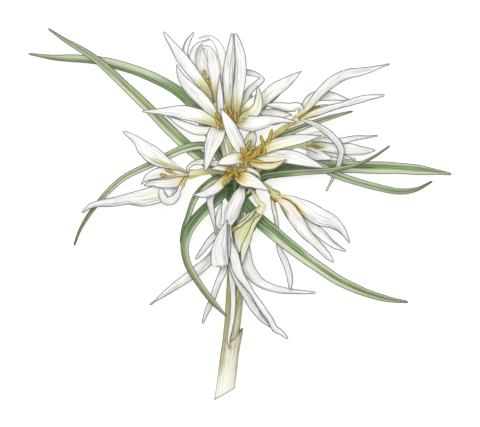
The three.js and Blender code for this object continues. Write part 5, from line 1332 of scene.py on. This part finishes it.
@dataclass
class Stem:
    """The neck from its slanting cut to the round head, with the torn papery sheath on its lower part."""

    material: bpy.types.Material
    path: tuple[Point, ...] = NECK_PATH
    radii: tuple[float, ...] = (3.35, 3.3, 3.2, 3.35, 3.4, 3.15, 3.1, 3.2, 3.3)
    ribs: tuple[int, float] = (11, 0.05)
    sides: int = 48
    step: float = 0.9
    cut_slant: float = 0.78
    hollow: tuple[tuple[float, float], ...] = ((0.04, 0.7), (0.5, 0.6), (0.84, 0.35), (0.95, 0.05))
    sheath_end: float = 0.285
    sheath_thickness: float = 0.42
    tear: float = 5.4
    flare: float = 1.1
    end_way: Point = (0.0, 1.0, 0.22)

    def radius(self, strand: Strand) -> np.ndarray:
        """Gives the neck's radius with fine lengthwise ribs: depth * sin(count * a + a slow drift)."""
        count, depth = self.ribs
        angle = 2 * math.pi * np.arange(self.sides) / self.sides
        drift = np.sin(strand.t * 9.0) * 0.8
        ribs = depth * np.sin(count * angle[None, :] + drift[:, None])
        return blended(self.radii, strand.t)[:, None] + ribs

    def skin(self, strand: Strand, radius: np.ndarray) -> np.ndarray:
        """Gives the rings of the neck at a radius, moved along by slant * (x - centre x) near the cut."""
        rings = strand.at[:, None] + strand.spokes(round_angles(self.sides)) * radius[..., None]
        near_cut = 1.0 - smoothstep(strand.t, 0.0, 0.09)
        shift = self.cut_slant * (rings[..., 0] - strand.at[:, None, 0]) * near_cut[:, None]
        return rings + strand.along[:, None] * shift[..., None]

    def close(self, rings: np.ndarray, strand: Strand, tints: tuple[Tint, ...], seed: int) -> Shell:
        """Dishes the cut end, keeps every point over the floor, lays the tints, paints shade on both flanks
        through the margin mark and lofts the rings.
        """
        middle = rings[0].mean(axis=0)
        out = rings[0] - middle
        dish = [middle + out * share + strand.along[0] * depth for share, depth in self.hollow]
        rings = np.concatenate([np.array(dish), rings])
        t = np.concatenate([np.zeros(len(dish)), strand.t])
        rings[..., 2] = np.maximum(rings[..., 2], 0.0)
        lean = np.broadcast_to(np.cos(round_angles(self.sides))[None, :], (len(t), self.sides))
        marks = stained_and_shaded(tints, t, lean)
        margin = np.concatenate([np.full(len(dish) - 1, FAR), [0.25], 0.1 + strand.t * strand.length])
        # painted shade: a low margin along both flanks of the neck and sheath darkens their sides
        flank = (1.0 - np.abs(lean)) * self.radii[0] + FLANK_SHADE_MARGIN
        face = np.arange(len(t)) < len(dish)
        marks["margin"] = np.minimum(margin[:, None], flank + FAR * face[:, None])
        run = t * strand.length / 10 + seed
        return loft(rings, np.arange(self.sides + 1) / self.sides, run, marks, False)

    def core(self) -> Shell:
        """The neck itself, running into the head."""
        strand = Strand(np.array(self.path), self.step)
        radius = self.radius(strand) * (1.0 + 0.015 * np.sin(strand.t * 31.0)[:, None])
        return self.close(self.skin(strand, radius), strand, (), 0)

    def sheath(self) -> Shell:
        """The papery sheath, whose torn edge climbs on the right flank and stands off the neck there."""
        strand = Strand(np.array(self.path), self.step)
        kept = strand.t <= self.sheath_end
        for name in ("t", "at", "along", "side", "normal"):
            setattr(strand, name, getattr(strand, name)[kept])
        angle = round_angles(self.sides)
        right = np.clip(-np.cos(angle), 0.0, 1.0)[None, :]
        lip = smoothstep(strand.t, self.sheath_end - 0.1, self.sheath_end)[:, None]
        closed = smoothstep(np.cos(angle), -0.3, 0.4)[None, :] * lip
        stand = self.sheath_thickness * (1.0 - 0.9 * closed) + self.flare * lip * right**3
        rings = self.skin(strand, self.radius(strand) + stand)
        climb = self.tear * right**1.8 + 0.2 * np.sin(angle * 7.0)[None, :]
        rings = rings + strand.along[:, None] * (climb * lip)[..., None]
        strand.t = strand.t / self.sheath_end
        strand.length = strand.length * self.sheath_end
        return self.close(rings, strand, (BROWN(0.955, 1.2, 1.0, 0.02, -1.6, -0.1),), 2)

    def ball(self) -> Shell:
        """The round head: rings of radius sqrt(1 - x^2) along the stem's end direction."""
        centre, way = np.array(HEAD.centre), np.array(self.end_way) / 1.024
        strand = Strand(np.array([centre + way * HEAD.radius * k for k in (-1, 0, 1)]), 0.4)
        place = np.clip((strand.at - centre) @ strand.along[0] / HEAD.radius, -1, 1)
        radius = HEAD.radius * np.sqrt(np.maximum(1.0 - place**2, 0.0004))
        return tube(strand, radius, self.sides, (), 5)

    def build(self) -> bpy.types.Object:
        """Joins neck, sheath and head into one piece."""
        return piece_from([self.core(), self.sheath(), self.ball()], "stem_dressed", self.material)


@dataclass
class Leaf:
    """A strap leaf, hollowed along its midrib."""

    plan: LeafPlan
    material: bpy.types.Material
    seed: int
    form: BladeForm = BladeForm(0.62, 0.16, 0.06, 0.1, 20)
    step: float = 0.75
    blunt: float = 1.6

    def build(self) -> bpy.types.Object:
        """Lofts the leaf from its foot on the head to its rounded tip."""
        strand = Strand(np.vstack([HEAD.start(self.plan.foot), np.array(self.plan.path)]), self.step)
        width = blended(self.plan.widths, strand.t) * tip_rounding(strand, self.blunt)
        shell = blade(strand, width, self.form, self.plan.tints, self.seed)
        return piece_from([shell], self.plan.node + "_dressed", self.material)


@dataclass
class Flower:
    """A flower's tube, flared throat and tepals."""

    plan: FlowerPlan
    material: bpy.types.Material
    seed: int
    form: BladeForm = BladeForm(0.42, 0.13, 0.12, 0.12)
    throat_radius: float = 2.0
    throat_depth: float = 3.2
    funnel: float = 4.6
    rim: tuple[float, float, float] = (1.75, 1.5, 1.1)
    step: float = 0.5
    blunt: float = 1.1

    def stalk(self) -> Shell:
        """The tube from the head, widened over its last millimetres to the throat."""
        centre, facing = self.plan.frame()
        points = [*HEAD.start(self.plan.foot), *self.plan.tube, centre - facing * self.throat_depth, centre]
        strand = Strand(np.array(points), self.step)
        left = (1.0 - strand.t) * strand.length
        radius = blended(self.plan.radii, strand.t)
        radius = radius + (self.throat_radius - radius) * smoothstep(-left, -self.funnel, 0.3)
        return tube(strand, radius, 20, self.plan.tube_tints, self.seed, (6, 0.05))

    def tepal(self, plan: TepalPlan, number: int) -> Shell:
        """One tepal, rooted inside the throat and turned level once it is free.

        Its width runs through the widths of its plan. With one width, wide, it is
        wide * (claw + (1 - claw) * sin) up to where it is widest and wide * (1 - x^2.1) from there on.

        Args:
            plan: the tepal.
            number: its place in the flower, which sets its waves.

        Returns:
            The skin.
        """
        centre, facing = self.plan.frame()
        spoke = self.plan.spoke(plan.path[0])
        ring, sink, rise = self.rim
        root = centre - facing * sink + spoke * ring * 0.75
        rim = centre + facing * rise + spoke * ring
        strand = Strand(np.vstack([root, rim, np.array(plan.path)]), self.step, np.cross(facing, spoke))
        t = strand.t
        if len(plan.widths) > 1:
            width = blended(plan.widths, t)
        else:
            rising = CLAW + (1.0 - CLAW) * np.sin(math.pi / 2 * np.minimum(t / plan.widest, 1.0))
            falling = 1.0 - np.clip((t - plan.widest) / (1.0 - plan.widest), 0.0, 1.0) ** 2.1
            width = np.maximum(plan.widths[0] * np.where(t < plan.widest, rising, falling), 1.0)
        width = np.maximum(width, ROOT_WIDTH * (1.0 - smoothstep(t * strand.length, 0.5, 6.0)))
        width = width * tip_rounding(strand, self.blunt)
        return blade(strand, width, self.form, plan.tints, self.seed * 8 + number)

    def build(self) -> bpy.types.Object:
        """Joins the tube and the tepals into one piece."""
        shells = [self.stalk()]
        shells += [self.tepal(tepal, number) for number, tepal in enumerate(self.plan.tepals)]
        return piece_from(shells, f"flower_{self.plan.name}_dressed", self.material)


@dataclass
class Stamens:
    """The golden threads and grooved anthers of one flower."""

    plan: FlowerPlan
    material: bpy.types.Material
    seed: int
    thread: float = 0.32
    anther: float = 0.66
    ring: float = 0.62
    lift: float = 0.55
    # brown along the middle line and at the tip, and painted shade on both flanks of each anther as seen from
    # above
    brown_lines_and_flank_shade: tuple[Tint, ...] = (
        BROWN(0.05, 0.95, 0.4, 0.12, -0.12, 0.12), BROWN(-0.2, 1.2, 1.0, 0.12, 0.68),
        BROWN(-0.2, 1.2, 1.0, 0.12, -1.6, -0.68), BROWN(0.86, 1.2, 0.5),
    )

    def build(self) -> bpy.types.Object:
        """Builds the little disc, then a thread and an anther for each pair of anther ends."""
        centre, facing = self.plan.frame()
        seat = centre + facing * self.lift
        disc = Strand(np.array([seat, seat + facing * 0.4, seat + facing * 0.8]), 0.15)
        dome = self.ring * np.sqrt(np.maximum(1.0 - disc.t**2 * 0.9, 0.05))
        shells = [tube(disc, dome, 16, (), self.seed)]
        golden = (BROWN(0.8, 1.2, 0.4), PALE(-0.3, 0.7, self.plan.pale_threads))
        for near, far in self.plan.stamens:
            first, last = np.array(near), np.array(far)
            spoke = self.plan.spoke(near)
            foot = seat + spoke * self.ring * 0.35 + facing * 0.2
            thread = Strand(np.array([foot, foot + facing * 2.2 + spoke * 0.3, first]), 0.5)
            shells.append(tube(thread, self.thread * (1.15 - 0.3 * thread.t), 8, golden, self.seed))
            body = Strand(np.array([first - 0.12 * (last - first), (first + last) / 2, last]), 0.22)
            swell = np.sqrt(np.maximum(1.0 - (2 * body.t - 1) ** 4, 0.04)) * (1.0 - 0.12 * body.t)
            shells.append(tube(body, self.anther * swell, 16, self.brown_lines_and_flank_shade, self.seed + 1, (4, 0.13)))
        return piece_from(shells, f"stamens_{self.plan.name}_dressed", self.material)


@dataclass
class Studio:
    """Floor, soft lights, white surroundings and the camera that looks straight down."""

    height: float = 4.02
    lens: float = 750.0
    frame_width: float = 36.0
    floor_half: float = 1.5
    white: float = 0.36

    def floor(self) -> None:
        """Lays the pale floor under the plant."""
        side = self.floor_half
        mesh = bpy.data.meshes.new("floor")
        corners = [(-side, -side, 0.0), (side, -side, 0.0), (side, side, 0.0), (-side, side, 0.0)]
        mesh.from_pydata(corners, [], [(0, 1, 2, 3)])
        mesh.materials.append(floor_material())
        floor = bpy.data.objects.new("floor", mesh)
        bpy.context.collection.objects.link(floor)

    def lamp(self, name: str, at: Point, size: float, power: float) -> None:
        """Hangs a square soft light that faces the plant."""
        data = bpy.data.lights.new(name, "AREA")
        data.size = size
        data.energy = power
        lamp = bpy.data.objects.new(name, data)
        lamp.location = at
        aim = -np.array(at) / np.linalg.norm(at)
        lamp.rotation_euler = (math.acos(-aim[2]), 0.0, math.atan2(-aim[0], aim[1]))
        bpy.context.collection.objects.link(lamp)

    def surroundings(self) -> None:
        """Fills the studio with even white light."""
        world = bpy.data.worlds.new("studio_white")
        world.use_nodes = True
        inputs = world.node_tree.nodes["Background"].inputs
        inputs["Color"].default_value = (1.0, 1.0, 1.0, 1.0)
        inputs["Strength"].default_value = self.white
        bpy.context.scene.world = world

    def camera(self) -> None:
        """Sets the camera over the middle, with the picture's up as the frame's Y."""
        data = bpy.data.cameras.new("camera")
        data.lens = self.lens
        data.sensor_width = self.frame_width
        data.clip_end = 20.0
        camera = bpy.data.objects.new("camera", data)
        camera.location = (0.0, 0.0, self.height)
        bpy.context.collection.objects.link(camera)
        bpy.context.scene.camera = camera

    def build(self) -> None:
        """Sets everything up, with a plain view transform."""
        self.floor()
        self.lamp("key", (-0.16, 0.2, 1.6), 0.6, 16.5)
        self.lamp("fill", (0.5, -0.4, 1.3), 1.0, 2.4)
        self.surroundings()
        self.camera()
        bpy.context.scene.view_settings.view_transform = "Standard"


def dress(piece: bpy.types.Object, node: str) -> None:
    """Lets a piece ride on the part in place of its node, and reports it."""
    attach(piece, "root")
    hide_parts(node)
    LOG.info("%s replaces %s: %d faces", piece.name, node, len(piece.data.polygons))


def main() -> None:
    """Builds the studio and every piece."""
    logging.basicConfig(level=logging.INFO, format="%(name)s: %(message)s")
    Studio().build()
    dress(Stem(StemFinish().material()).build(), "stem")
    leaf_finish = LeafFinish().material()
    for number, plan in enumerate(LEAVES):
        dress(Leaf(plan, leaf_finish, 100 + number).build(), plan.node)
    petal_finish = PetalFinish().material()
    stamen_finishes: dict[Colour, bpy.types.Material] = {}
    for number, plan in enumerate(FLOWERS):
        dress(Flower(plan, petal_finish, number).build(), f"flower_{plan.name}")
        if plan.stamens:
            if plan.anther not in stamen_finishes:
                name = f"stamen_{len(stamen_finishes)}"
                stamen_finishes[plan.anther] = StamenFinish(name, gold=plan.anther).material()
            piece = Stamens(plan, stamen_finishes[plan.anther], 40 + number).build()
            dress(piece, f"stamens_{plan.name}")


if __name__ == "__main__":
    main()
